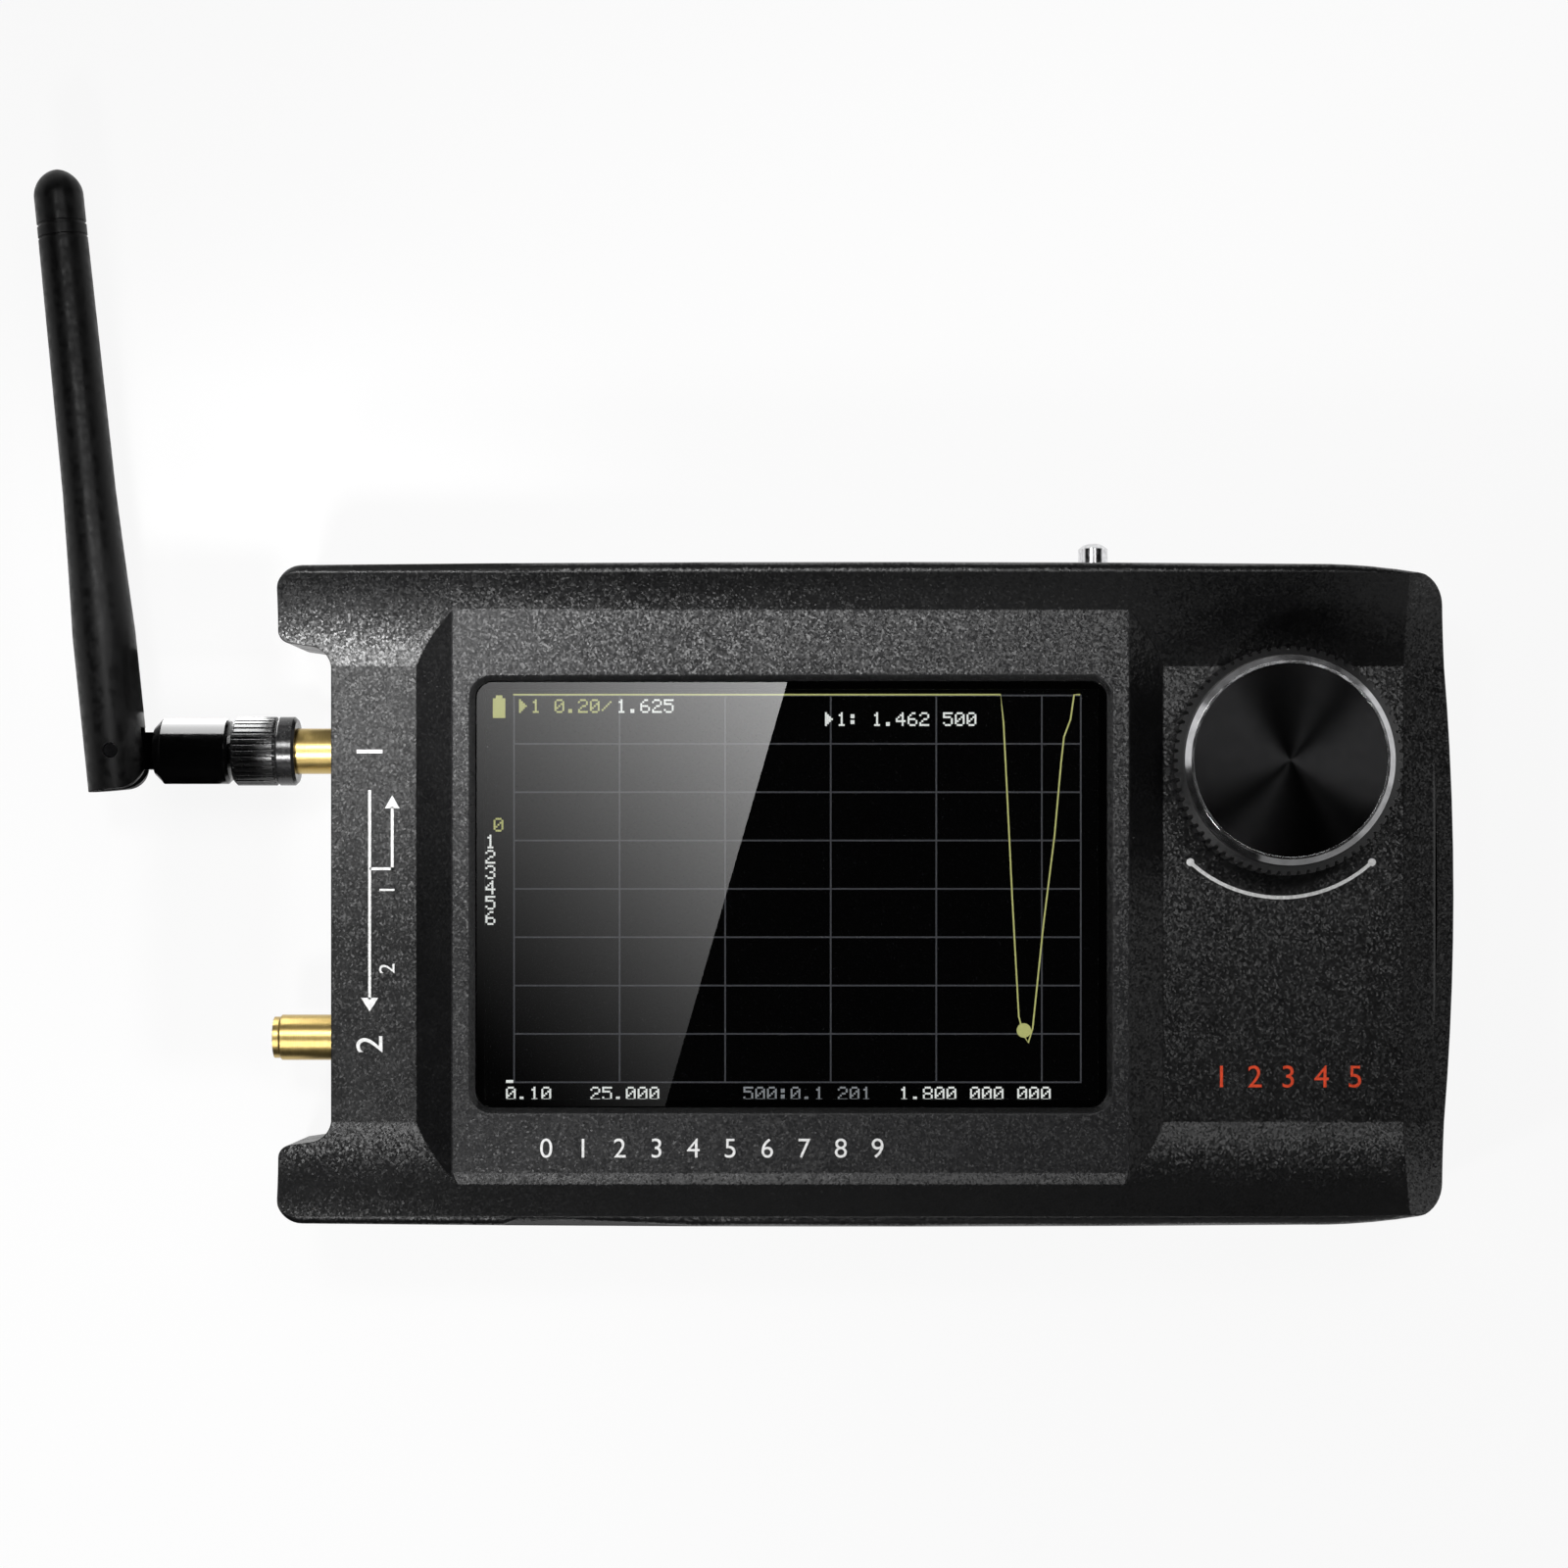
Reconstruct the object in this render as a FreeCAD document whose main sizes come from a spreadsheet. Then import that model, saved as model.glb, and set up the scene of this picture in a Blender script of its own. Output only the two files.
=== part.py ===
# Handheld antenna analyzer with a folding whip antenna on its upper port, in millimetres.
# It lies on its back: +X runs to the dial end, +Y to the edge with the power button and
# +Z out of the display. The origin is the centre of the back face.

import FreeCAD, Part
import Sketcher
import math
import os
import re

SIZES = {
    # Case outline: its reach to the ears and to the dial end, its half width, and how far each
    # corner is drawn in from them
    "ear_reach": 80.3,
    "end_reach": 81.45,
    "half_wide": 44.9,
    "heel_draw_in": 0.6,
    "recess_depth": 7.1,
    "shoulder_length": 21.45,
    "end_crown": 2.7,
    "ear_draw_in": 0.2,
    "end_draw_in": 1.8,
    "ear_width": 10.3,
    "ear_splay": 1,
    "side_bow": 7000,
    "side_swell": 0.4,
    "shoulder_bow": 88,
    "end_bow": 350,
    "ear_corner": 3.6,
    "ear_tip_corner": 1.6,
    "recess_corner": 3,
    "end_corner": 4.8,
    # Case heights above the back face, and its walls
    "parting_height": 11,
    "flat_height": 20.6,
    "bezel_height": 23.5,
    "rail_height": 27,
    "back_edge": 1.8,
    "seam_chamfer": 0.35,
    "wall": 2.2,
    "side_wall": 3.6,
    # Side rails and the hollow between them
    "crest_inset": 1.2,
    "rail_width": 12.4,
    "cove_bow": 27,
    "rail_roll": 1.3,
    "end_slope_length": 7.45,
    "end_slope_angle": 25,
    "rail_core_width": 3.3,
    "rail_core_height": 20.9,
    "rail_core_gap": 8,
    # Display bezel and window
    "window_x": -10,
    "window_long": 86,
    "window_wide": 58,
    "window_corner": 2.2,
    "window_chamfer": 0.8,
    "window_gap": 0.15,
    "window_depth": 1,
    "bezel_left_margin": 3.2,
    "bezel_right_margin": 3.1,
    "bezel_left_slope": 5.3,
    "bezel_right_slope": 4.9,
    "bezel_inset": 2.7,
    "bezel_root": 1,
    "lens_thick": 1.1,
    "gasket_thick": 0.3,
    "ledge_end_lip": 1,
    "ledge_side_lip": 0.9,
    "ledge_thick": 1.2,
    # Display module
    "panel_end_border": 3,
    "panel_side_border": 2.4,
    "panel_thick": 2,
    "tray_wall": 0.8,
    "tray_lip": 1,
    "tray_gap": 0.1,
    "tray_floor": 1,
    "display_room": 0.7,
    "ribbon_width": 20,
    "ribbon_thick": 0.3,
    "ribbon_start": 18,
    "ribbon_run": 9,
    "ribbon_socket_long": 6,
    "ribbon_socket_extra": 2,
    "ribbon_socket_height": 1.2,
    # Case screws, their bosses and inserts
    "boss_end_gap": 5,
    "boss_end_inset": 8.6,
    "boss_inset": 7.5,
    "boss_radius": 3,
    "screw_radius": 1.25,
    "screw_play": 0.2,
    "screw_length": 12,
    "screw_head_radius": 2.25,
    "screw_head_height": 2,
    "screw_head_depth": 0.5,
    "screw_head_gap": 0.25,
    "drive_radius": 1.1,
    "drive_depth": 1.2,
    "insert_wall": 0.62,
    "insert_fit": 0.03,
    "insert_length": 5,
    # Main board and the screws that hold it
    "board_end_gap": 0.3,
    "board_front_gap": 0.9,
    "board_boss_gap": 0.9,
    "board_thick": 1.6,
    "notch_length": 3.4,
    "notch_gap": 0.265,
    "post_end_inset": 6.7,
    "post_front_inset": 8,
    "post_inset": 4.5,
    "post_radius": 2.4,
    "board_screw_radius": 1,
    "board_screw_fit": 0.03,
    "board_hole_gap": 0.15,
    "board_screw_bite": 5,
    "post_hole_depth": 5.6,
    "board_screw_head": 1.8,
    "board_screw_head_height": 1.3,
    # Electronics on the board
    "processor_x": -12,
    "processor_y": 6,
    "processor_side": 14,
    "processor_height": 1.4,
    "synthesizer_x": -33,
    "synthesizer_side": 7,
    "synthesizer_height": 1,
    "crystal_y": -8,
    "crystal_long": 5,
    "crystal_wide": 3.2,
    "crystal_height": 1.3,
    "shield_gap": 0.6,
    "shield_long": 22,
    "shield_wide": 16,
    "shield_height": 3,
    "shield_wall": 0.3,
    # Measuring ports
    "port_side": 20,
    "port_length": 9.2,
    "thread_radius": 3.175,
    "thread_relief": 0.5,
    "thread_clear": 0.2,
    "thread_depth": 0.275,
    "port_neck_length": 0.8,
    "port_seat_depth": 2,
    "port_seat_radius": 2.32,
    "port_bore": 2.05,
    "port_hole_gap": 0.1,
    "flange_side": 8,
    "flange_thick": 2,
    "contact_radius": 0.635,
    "contact_play": 0.035,
    "contact_bore_depth": 3,
    "contact_tail": 3.2,
    # Battery and its lead
    "battery_x": 2,
    "battery_long": 62,
    "battery_wide": 40,
    "battery_thick": 6,
    "battery_round": 1.5,
    "pad_thick": 0.4,
    "pad_inset": 4,
    "lead_radius": 0.7,
    "lead_side": 12,
    "plug_offset": 11.5,
    "plug_side": 1,
    "plug_half_width": 2.4,
    "plug_length": 4,
    "plug_height": 3,
    "plug_proud": 1,
    "socket_wall": 0.7,
    "socket_length": 5,
    # USB socket
    "usb_side": -15,
    "usb_half_width": 4.47,
    "usb_height": 3.26,
    "usb_wall": 0.3,
    "usb_back_wall": 1,
    "usb_inset": 0.6,
    "usb_length": 7.2,
    "usb_hole_gap": 0.2,
    "usb_end_flat": 0.05,
    "tongue_half_width": 3.3,
    "tongue_thick": 0.7,
    "tongue_inset": 0.8,
    # Rotary encoder in the panel
    "dial_from_end": 24.25,
    "dial_side": 18,
    "encoder_width": 12.4,
    "encoder_corner": 0.8,
    "encoder_gap": 0.1,
    "encoder_floor": 0.5,
    "bushing_wall": 0.44,
    "bushing_gap": 0.1,
    "bushing_rise": 3.2,
    "washer_width": 2,
    "washer_thick": 0.5,
    "encoder_nut_width": 2.1,
    "encoder_nut_fit": 0.02,
    "encoder_nut_height": 2,
    "plunger_inset": 0.6,
    "plunger_height": 1.3,
    "plunger_travel_room": 0.6,
    # Dial
    "shaft_radius": 3,
    "shaft_play": 0.06,
    "shaft_rise": 8.8,
    "shaft_chamfer": 0.4,
    "knob_gap": 1.5,
    "knob_skirt_height": 8.2,
    "knob_radius": 15.45,
    "knob_shoulder": 1.15,
    "knob_shoulder_drop": 0.9,
    "knob_foot_chamfer": 0.5,
    "knob_recess_gap": 1.4,
    "knob_recess_height": 3.6,
    "knob_fit": 0.02,
    "knob_teeth": 72,
    "tooth_depth": 0.5,
    "notch_root": 0.34,
    "notch_mouth": 0.67,
    "rim_inset": 0.15,
    "rim_width": 1.15,
    "rim_height": 2,
    "rim_bevel": 0.8,
    "face_thick": 1.4,
    "face_inset": 0.3,
    "grub_radius": 1.5,
    "grub_length": 6,
    "grub_rise": 4.6,
    # Power button on the top edge
    "power_x": 31.7,
    "power_height": 15.3,
    "power_radius": 2.05,
    "power_hole_gap": 0.12,
    "power_proud": 3.5,
    "power_flange_radius": 3,
    "power_flange_thick": 1,
    "power_flange_room": 0.3,
    "power_stem_radius": 1.2,
    "power_stem_gap": 1.2,
    "power_dome": 0.8,
    "power_dome_bow": 2.6,
    "power_crown": 0.5,
    "switch_half_width": 3.2,
    "switch_inset": 3.7,
    "switch_depth": 5.6,
    "switch_height": 6.2,
    # Key in the lower edge
    "key_x": 33.1,
    "key_height": 16,
    "key_half_width": 2.5,
    "key_half_height": 2.5,
    "key_hole_gap": 0.12,
    "key_proud": 0.5,
    "key_round": 0.8,
    "key_stem_gap": 1.1,
    "key_flange_room": 0.45,
    "key_flange_extra": 0.6,
    # Whip antenna plug and its captive nut
    "ferrule_play": 0.04,
    "ferrule_length": 4.2,
    "ferrule_total": 11.6,
    "ferrule_shoulder": 3,
    "shoulder_thick": 0.8,
    "ferrule_neck": 2.3,
    "ferrule_bore": 1.95,
    "whip_pin_radius": 0.455,
    "whip_pin_step": 0.2,
    "whip_pin_point": 0.3,
    "whip_pin_reach": 1.8,
    "whip_insulator_inset": 0.5,
    "nut_reach": 1.25,
    "nut_flange": 2.4,
    "nut_length": 8.85,
    "nut_radius": 4.8,
    "nut_edge": 0.4,
    "nut_end_chamfer": 0.5,
    "nut_knurl_depth": 0.3,
    "nut_ribs": 36,
    "rib_gap_root": 0.168,
    "rib_gap_mouth": 0.32,
    "thread_play": 0.08,
    "nut_room": 6.45,
    "nut_lip_play": 0.08,
    "nut_groove_depth": 0.42,
    "nut_groove_length": 0.9,
    "ring_play": 0.01,
    "ring_gap": 0.08,
    "ring_length": 0.7,
    # Elbow and fold hinge of the whip
    "elbow_gap": 0.5,
    "elbow_length": 10.5,
    "elbow_radius": 4.6,
    "elbow_edge": 0.4,
    "elbow_chamfer": 1.2,
    "elbow_play": 0.05,
    "elbow_end_gap": 0.3,
    "elbow_root": 1,
    "blade_gap": 1.3,
    "tongue_height": 5.2,
    "tongue_width": 3,
    "hinge_pin_radius": 1,
    "hinge_pin_fit": 0.02,
    "hinge_pin_play": 0.06,
    "hinge_pin_inset": 0.35,
    # Whip blade, measured from the hinge pin
    "blade_lean": 5.9,
    "blade_heel": 5.3,
    "blade_heel_corner": 3.9,
    "blade_radius": 4.35,
    "blade_straight": 16.4,
    "blade_waist": 36.4,
    "blade_waist_radius": 3.67,
    "blade_bow": 1500,
    "blade_neck": 72,
    "blade_neck_radius": 3.42,
    "blade_tip": 81.7,
    "blade_tip_round": 3.9,
    "blade_tip_bow": 3.9,
    "blade_crown": 0.5,
    "tongue_play": 0.1,
    "blade_slot_room": 0.3,
    "ring_cut": 0.3,
    "ring_cut_start": 0.4,
    "ring_cut_width": 0.5,
    "ring_cut_step": 1.4,
    "cap_spigot_length": 3,
    "radiator_start": 7,
    "radiator_radius": 2,
    "core_radius": 1.1,
}

# Places and sizes that follow from the sizes above
FOLLOWS = {
    # Case outline
    "ear_heel_reach": "ear_reach - heel_draw_in",
    "recess_reach": "ear_reach - recess_depth",
    "recess_wall": "recess_reach - wall",
    "shoulder_start": "end_reach - shoulder_length",
    "end_corner_reach": "end_reach - end_crown",
    "end_slope_start": "end_reach - end_slope_length",
    "side_reach_ear": "half_wide - ear_draw_in",
    "side_edge": "side_reach_ear + side_swell",
    "end_corner_side": "half_wide - end_draw_in",
    "ear_gap_outer": "half_wide - ear_width",
    "ear_gap_inner": "ear_gap_outer - ear_splay",
    # Rails, room inside and bezel
    "crest_side": "half_wide - crest_inset",
    "crease_side": "crest_side - rail_width",
    "cavity_side": "half_wide - side_wall",
    "rail_core_inner": "cavity_side - rail_core_width",
    "rail_core_reach": "boss_left - rail_core_gap",
    "bezel_half_span": "crest_side - bezel_inset",
    "bezel_face_left": "window_long / 2 - window_x + bezel_left_margin",
    "bezel_face_right": "window_long / 2 + window_x + bezel_right_margin",
    "bezel_foot_left": "bezel_face_left + bezel_left_slope",
    "bezel_foot_right": "bezel_face_right + bezel_right_slope",
    # Heights of the display stack, from the lens down to the board
    "roof": "flat_height - wall",
    "lens_top": "bezel_height - window_depth",
    "lens_bottom": "lens_top - lens_thick",
    "ledge_top": "lens_bottom - gasket_thick",
    "ledge_bottom": "ledge_top - ledge_thick",
    "panel_bottom": "ledge_bottom - panel_thick",
    "tray_bottom": "panel_bottom - tray_floor",
    "board_top": "parting_height + board_thick / 2",
    "board_bottom": "parting_height - board_thick / 2",
    "ledge_long": "window_long - 2 * ledge_end_lip",
    "ledge_wide": "window_wide - 2 * ledge_side_lip",
    "panel_long": "ledge_long + 2 * panel_end_border",
    "panel_wide": "ledge_wide + 2 * panel_side_border",
    "ribbon_bend": "ribbon_start + ribbon_run",
    # Bosses, posts and board
    "boss_left": "recess_wall - boss_end_gap",
    "boss_right": "end_corner_reach - boss_end_inset",
    "boss_side": "half_wide - boss_inset",
    "screw_hole_radius": "screw_radius + screw_play",
    "insert_bore": "screw_radius + insert_fit",
    "insert_radius": "insert_bore + insert_wall",
    "board_left": "recess_wall - flange_thick - board_end_gap",
    "board_right": "end_corner_reach - wall - board_front_gap",
    "board_half_width": "boss_side - boss_radius - board_boss_gap",
    "notch_half_width": "contact_radius + notch_gap",
    "post_left": "board_left - post_end_inset",
    "post_right": "board_right - post_front_inset",
    "post_side": "board_half_width - post_inset",
    "board_screw_hole": "board_screw_radius + board_screw_fit",
    "shield_x": "-(post_left - post_radius - shield_gap - shield_long / 2)",
    # Ports
    "port_tip": "recess_reach + port_length",
    "port_neck_radius": "thread_radius - thread_depth",
    "port_root_radius": "thread_radius - thread_relief",
    "flange_face": "recess_wall - flange_thick",
    "contact_bore": "whip_pin_radius + contact_play",
    # Battery plug, USB socket and switches
    "lead_height": "wall + pad_thick + battery_thick / 2",
    "plug_x": "battery_x + battery_long / 2 + plug_offset",
    "socket_base": "lead_height - plug_height / 2 - socket_wall",
    "usb_front": "end_reach - usb_inset",
    "usb_back": "usb_front - usb_length",
    "usb_middle": "board_top + usb_height / 2",
    "switch_outer": "cavity_side - switch_inset",
    "switch_inner": "switch_outer - switch_depth",
    "power_stem_reach": "switch_outer + power_stem_gap",
    "power_face": "cavity_side - power_flange_room",
    "power_tip": "side_edge + power_proud",
    "key_stem_reach": "switch_outer + key_stem_gap",
    "key_face": "cavity_side - key_flange_room",
    # Encoder and dial
    "dial_x": "end_reach - dial_from_end",
    "encoder_height": "roof - encoder_gap - board_top",
    "bushing_bore": "shaft_radius + shaft_play",
    "bushing_radius": "bushing_bore + bushing_wall",
    "bushing_hole": "bushing_radius + bushing_gap",
    "washer_radius": "bushing_radius + washer_width",
    "encoder_nut_radius": "bushing_radius + encoder_nut_width",
    "plunger_radius": "shaft_radius - plunger_inset",
    "plunger_bottom": "board_top + encoder_floor + plunger_travel_room",
    "plunger_top": "plunger_bottom + plunger_height",
    "shaft_top": "flat_height + shaft_rise",
    "knob_bottom": "flat_height + knob_gap",
    "knob_recess_top": "knob_bottom + knob_recess_height",
    "knob_skirt_top": "knob_bottom + knob_skirt_height",
    "knob_top": "knob_skirt_top + rim_height",
    "knob_bore": "shaft_radius + knob_fit",
    "knob_recess_radius": "encoder_nut_radius + knob_recess_gap",
    "knob_shoulder_radius": "knob_radius - knob_shoulder",
    "rim_outer_radius": "knob_shoulder_radius - rim_inset",
    "rim_inner_radius": "rim_outer_radius - rim_width",
    "face_top": "knob_top - face_inset",
    "face_bottom": "face_top - face_thick",
    # Whip plug, nut, elbow and blade
    "plug_plane": "port_tip - port_seat_depth",
    "ferrule_radius": "port_seat_radius - ferrule_play",
    "ferrule_end": "plug_plane + ferrule_total",
    "shoulder_face": "plug_plane + ferrule_length",
    "shoulder_back": "shoulder_face + shoulder_thick",
    "whip_stem_radius": "whip_pin_radius + whip_pin_step",
    "nut_front": "plug_plane - nut_reach",
    "nut_back": "nut_front + nut_length",
    "nut_bore": "thread_radius + thread_play",
    "nut_lip_bore": "ferrule_neck + nut_lip_play",
    "nut_groove_bore": "nut_lip_bore + nut_groove_depth",
    "nut_lip_face": "nut_front + nut_room",
    "groove_middle": "(nut_lip_face + nut_back) / 2",
    "ring_inner": "ferrule_neck + ring_play",
    "ring_outer": "nut_groove_bore - ring_gap",
    "elbow_front": "nut_back + elbow_gap",
    "elbow_back": "elbow_front + elbow_length",
    "elbow_bore": "ferrule_neck + elbow_play",
    "hinge_reach": "elbow_back + blade_radius + blade_gap",
    "hinge_pin_half": "blade_radius - hinge_pin_inset",
    "blade_slot_half": "tongue_width / 2 + tongue_play",
    "first_cut": "blade_neck + ring_cut_start",
    "second_cut": "first_cut + ring_cut_step",
    "radiator_end": "blade_neck - cap_spigot_length",
}

# How far a cut starts before, or runs past, the face that it opens
PAST = 1

doc = FreeCAD.newDocument("antenna_analyzer")
sheet = doc.addObject("Spreadsheet::Sheet", "sizes")
for row, (alias, number) in enumerate(SIZES.items(), start=1):
    sheet.set(f"A{row}", alias)
    sheet.set(f"B{row}", str(number))
    sheet.setAlias(f"B{row}", alias)
doc.recompute()

AXES = {
    "X": FreeCAD.Vector(1, 0, 0),
    "Y": FreeCAD.Vector(0, 1, 0),
    "Z": FreeCAD.Vector(0, 0, 1),
}
NODES = []


def bound(text):
    """The expression with each size's name written as a reference to the sheet."""
    def written(word):
        name = word[0]
        if name in FOLLOWS:
            return f"({bound(FOLLOWS[name])})"
        return f"sizes.{name}" if name in SIZES else name
    return re.sub(r"[a-z_]+", written, str(text))


def value(text):
    """The number that an expression stands for."""
    return float(sheet.evalExpression(bound(text)))


def tie(item, prop, text):
    item.setExpression(prop, bound(text))


def node(item, label):
    """Keep a finished sub-part under the name that its file takes."""
    item.Label = label
    NODES.append(item)
    return item


def new_body(label):
    body = doc.addObject("PartDesign::Body", label)
    return node(body, label)


def place(item, x="0", y="0", z="0"):
    for axis, text in zip("xyz", (x, y, z)):
        tie(item, f"Placement.Base.{axis}", text)


def new_sketch(body, name, role, offset="0"):
    """A sketch on one of the body's own origin planes, moved along that plane's normal."""
    sketch = body.newObject("Sketcher::SketchObject", f"{body.Name}_{name}")
    support = next(part for part in body.Origin.OriginFeatures if part.Role == role)
    sketch.AttachmentSupport = [(support, "")]
    sketch.MapMode = "FlatFace"
    tie(sketch, "AttachmentOffset.Base.z", offset)
    return sketch


def hold(sketch, kind, text, *place_of):
    index = sketch.addConstraint(Sketcher.Constraint(kind, *place_of, value(text)))
    sketch.setExpression(f"Constraints[{index}]", bound(text))


def hold_point(sketch, edge, end, x, y):
    hold(sketch, "DistanceX", x, -1, 1, edge, end)
    hold(sketch, "DistanceY", y, -1, 1, edge, end)


def arc_middle(start, end, radius):
    """Middle of the arc from start to end that bulges to the right of its travel, or left if negative."""
    chord = end - start
    sag = abs(radius) - math.sqrt(max(radius ** 2 - (chord.Length / 2) ** 2, 0))
    outward = FreeCAD.Vector(chord.y, -chord.x, 0).normalize()
    return (start + end) * 0.5 + outward * math.copysign(sag, radius)


def add_loop(sketch, corners, bows=None):
    """Closed loop through the corners, anticlockwise.

    bows maps a corner's number to the radius of the arc that leaves it, negative where it bulges inward.
    """
    bows = bows or {}
    first = sketch.GeometryCount
    points = [FreeCAD.Vector(value(x), value(y), 0) for x, y in corners]
    count = len(points)
    ends = []
    for i, start in enumerate(points):
        finish = points[(i + 1) % count]
        if i in bows:
            radius = value(bows[i])
            sketch.addGeometry(Part.Arc(start, arc_middle(start, finish, radius), finish), False)
            ends.append((1, 2) if radius > 0 else (2, 1))
        else:
            sketch.addGeometry(Part.LineSegment(start, finish), False)
            ends.append((1, 2))
    for i in range(count):
        after = (i + 1) % count
        joint = (first + i, ends[i][1], first + after, ends[after][0])
        sketch.addConstraint(Sketcher.Constraint("Coincident", *joint))
    for i, (x, y) in enumerate(corners):
        hold_point(sketch, first + i, ends[i][0], x, y)
    for i, radius in bows.items():
        hold(sketch, "Radius", f"abs({radius})", first + i)


def add_circle(sketch, x, y, radius):
    centre = FreeCAD.Vector(value(x), value(y), 0)
    index = sketch.addGeometry(Part.Circle(centre, AXES["Z"], value(radius)), False)
    hold_point(sketch, index, 3, x, y)
    hold(sketch, "Radius", radius, index)


def add_box(sketch, x, y, half_x, half_y, corner=None):
    """Rectangle about a centre, with round corners where corner is given."""
    left, right = f"({x} - {half_x})", f"({x} + {half_x})"
    low, high = f"({y} - {half_y})", f"({y} + {half_y})"
    if corner is None:
        add_loop(sketch, [(left, low), (right, low), (right, high), (left, high)])
        return
    add_loop(
        sketch,
        [
            (f"{left} + {corner}", low),
            (f"{right} - {corner}", low),
            (right, f"{low} + {corner}"),
            (right, f"{high} - {corner}"),
            (f"{right} - {corner}", high),
            (f"{left} + {corner}", high),
            (left, f"{high} - {corner}"),
            (left, f"{low} + {corner}"),
        ],
        {1: corner, 3: corner, 5: corner, 7: corner},
    )


def grow(body, kind, sketch, length, reverse=False, both_ways=False, direction=None):
    """Pad or pocket a sketch, square to it or along a direction, and check that the volume changed."""
    before = body.Shape.Volume if body.Tip else 0
    feature = body.newObject(f"PartDesign::{kind}", f"{sketch.Name}_{kind.lower()}")
    feature.Profile = sketch
    tie(feature, "Length", length)
    feature.Reversed = reverse
    if both_ways:
        feature.SideType = "Symmetric"
    if direction is not None:
        feature.UseCustomVector = True
        feature.Direction = direction
    doc.recompute()
    check_change(feature, body.Shape.Volume - before, kind == "Pad")
    return feature


def pad(body, sketch, length, **how):
    return grow(body, "Pad", sketch, length, **how)


def pocket(body, sketch, length, **how):
    return grow(body, "Pocket", sketch, length, **how)


def spin(body, kind, sketch, axis):
    """Turn a sketch through a full circle about its own horizontal or vertical axis."""
    before = body.Shape.Volume if body.Tip else 0
    feature = body.newObject(f"PartDesign::{kind}", f"{sketch.Name}_{kind.lower()}")
    feature.Profile = sketch
    feature.ReferenceAxis = (sketch, [axis])
    feature.Angle = 360
    doc.recompute()
    check_change(feature, body.Shape.Volume - before, kind == "Revolution")
    return feature


def check_change(feature, change, grows):
    if "Invalid" in feature.State or "Error" in feature.State:
        raise RuntimeError(f"{feature.Name} failed: {feature.State}")
    if (change > 0) != grows or abs(change) < 1e-6:
        raise RuntimeError(f"{feature.Name} changed the volume by {change:.4f}")


def dress(body, kind, name, size, chosen):
    """Fillet or chamfer the edges that a test chooses."""
    edges = [f"Edge{i + 1}" for i, edge in enumerate(body.Shape.Edges) if chosen(edge)]
    if not edges:
        raise RuntimeError(f"no edge for {body.Name} {name}")
    base = body.Tip
    feature = body.newObject(f"PartDesign::{kind}", f"{body.Name}_{name}")
    feature.Base = (base, edges)
    tie(feature, "Radius" if kind == "Fillet" else "Size", size)
    doc.recompute()
    if "Invalid" in feature.State or "Error" in feature.State:
        raise RuntimeError(f"{feature.Name} failed: {feature.State}")
    return feature


def spun_piece(label, profile, bows=None, x="0", y="0", z="0"):
    """A turned piece about an axis along X; the profile is (x, radius) pairs above that axis."""
    body = new_body(label)
    sketch = new_sketch(body, "profile", "XY_Plane")
    add_loop(sketch, profile, bows)
    spin(body, "Revolution", sketch, "H_Axis")
    place(body, x, y, z)
    return body


def upright_piece(label, profile, bows=None, x="0", y="0", z="0"):
    """A turned piece about an axis along Z; the profile is (radius, z) pairs beside that axis."""
    body = new_body(label)
    sketch = new_sketch(body, "profile", "XZ_Plane")
    add_loop(sketch, profile, bows)
    spin(body, "Revolution", sketch, "V_Axis")
    place(body, x, y, z)
    return body


def block(name, x, y, z, long_x, long_y, long_z):
    """A box from its lowest corner."""
    box = doc.addObject("Part::Box", name)
    tie(box, "Length", long_x)
    tie(box, "Width", long_y)
    tie(box, "Height", long_z)
    place(box, x, y, z)
    return box


def centred_block(name, x, y, z, long_x, long_y, long_z):
    """A box standing on height z over the point x, y."""
    return block(name, f"{x} - {long_x} / 2", f"{y} - {long_y} / 2", z, long_x, long_y, long_z)


def notch_outline(sketch, radius, depth, root, mouth):
    """A notch in the rim of a round piece: its root lies the depth inside the radius."""
    add_loop(
        sketch,
        [
            (f"{radius} - {depth}", f"-{root} / 2"),
            (radius, f"-{mouth} / 2"),
            (f"{radius} + {PAST}", f"-{mouth} / 2"),
            (f"{radius} + {PAST}", f"{mouth} / 2"),
            (radius, f"{mouth} / 2"),
            (f"{radius} - {depth}", f"{root} / 2"),
        ],
    )


def repeat_round(body, sketch, feature, count):
    """Repeat a feature evenly about the axis that stands on its sketch's origin."""
    pattern = body.newObject("PartDesign::PolarPattern", f"{sketch.Name}_pattern")
    pattern.Originals = [feature]
    pattern.Axis = (sketch, ["N_Axis"])
    pattern.Angle = 360
    tie(pattern, "Occurrences", count)
    body.Tip = pattern
    doc.recompute()


def cut(label, base, tool):
    result = doc.addObject("Part::Cut", label)
    result.Base = base
    result.Tool = tool
    return result


def case_outline(sketch):
    """Outline of the case: bowed long edges, a bowed right end and two ears on the left."""
    add_loop(
        sketch,
        [
            ("-ear_heel_reach", "-side_reach_ear"),
            ("shoulder_start", "-half_wide"),
            ("end_corner_reach", "-end_corner_side"),
            ("end_corner_reach", "end_corner_side"),
            ("shoulder_start", "half_wide"),
            ("-ear_heel_reach", "side_reach_ear"),
            ("-ear_reach", "ear_gap_outer"),
            ("-recess_reach", "ear_gap_inner"),
            ("-recess_reach", "-ear_gap_inner"),
            ("-ear_reach", "-ear_gap_outer"),
        ],
        {0: "side_bow", 1: "shoulder_bow", 2: "end_bow", 3: "shoulder_bow", 4: "side_bow"},
    )


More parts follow.
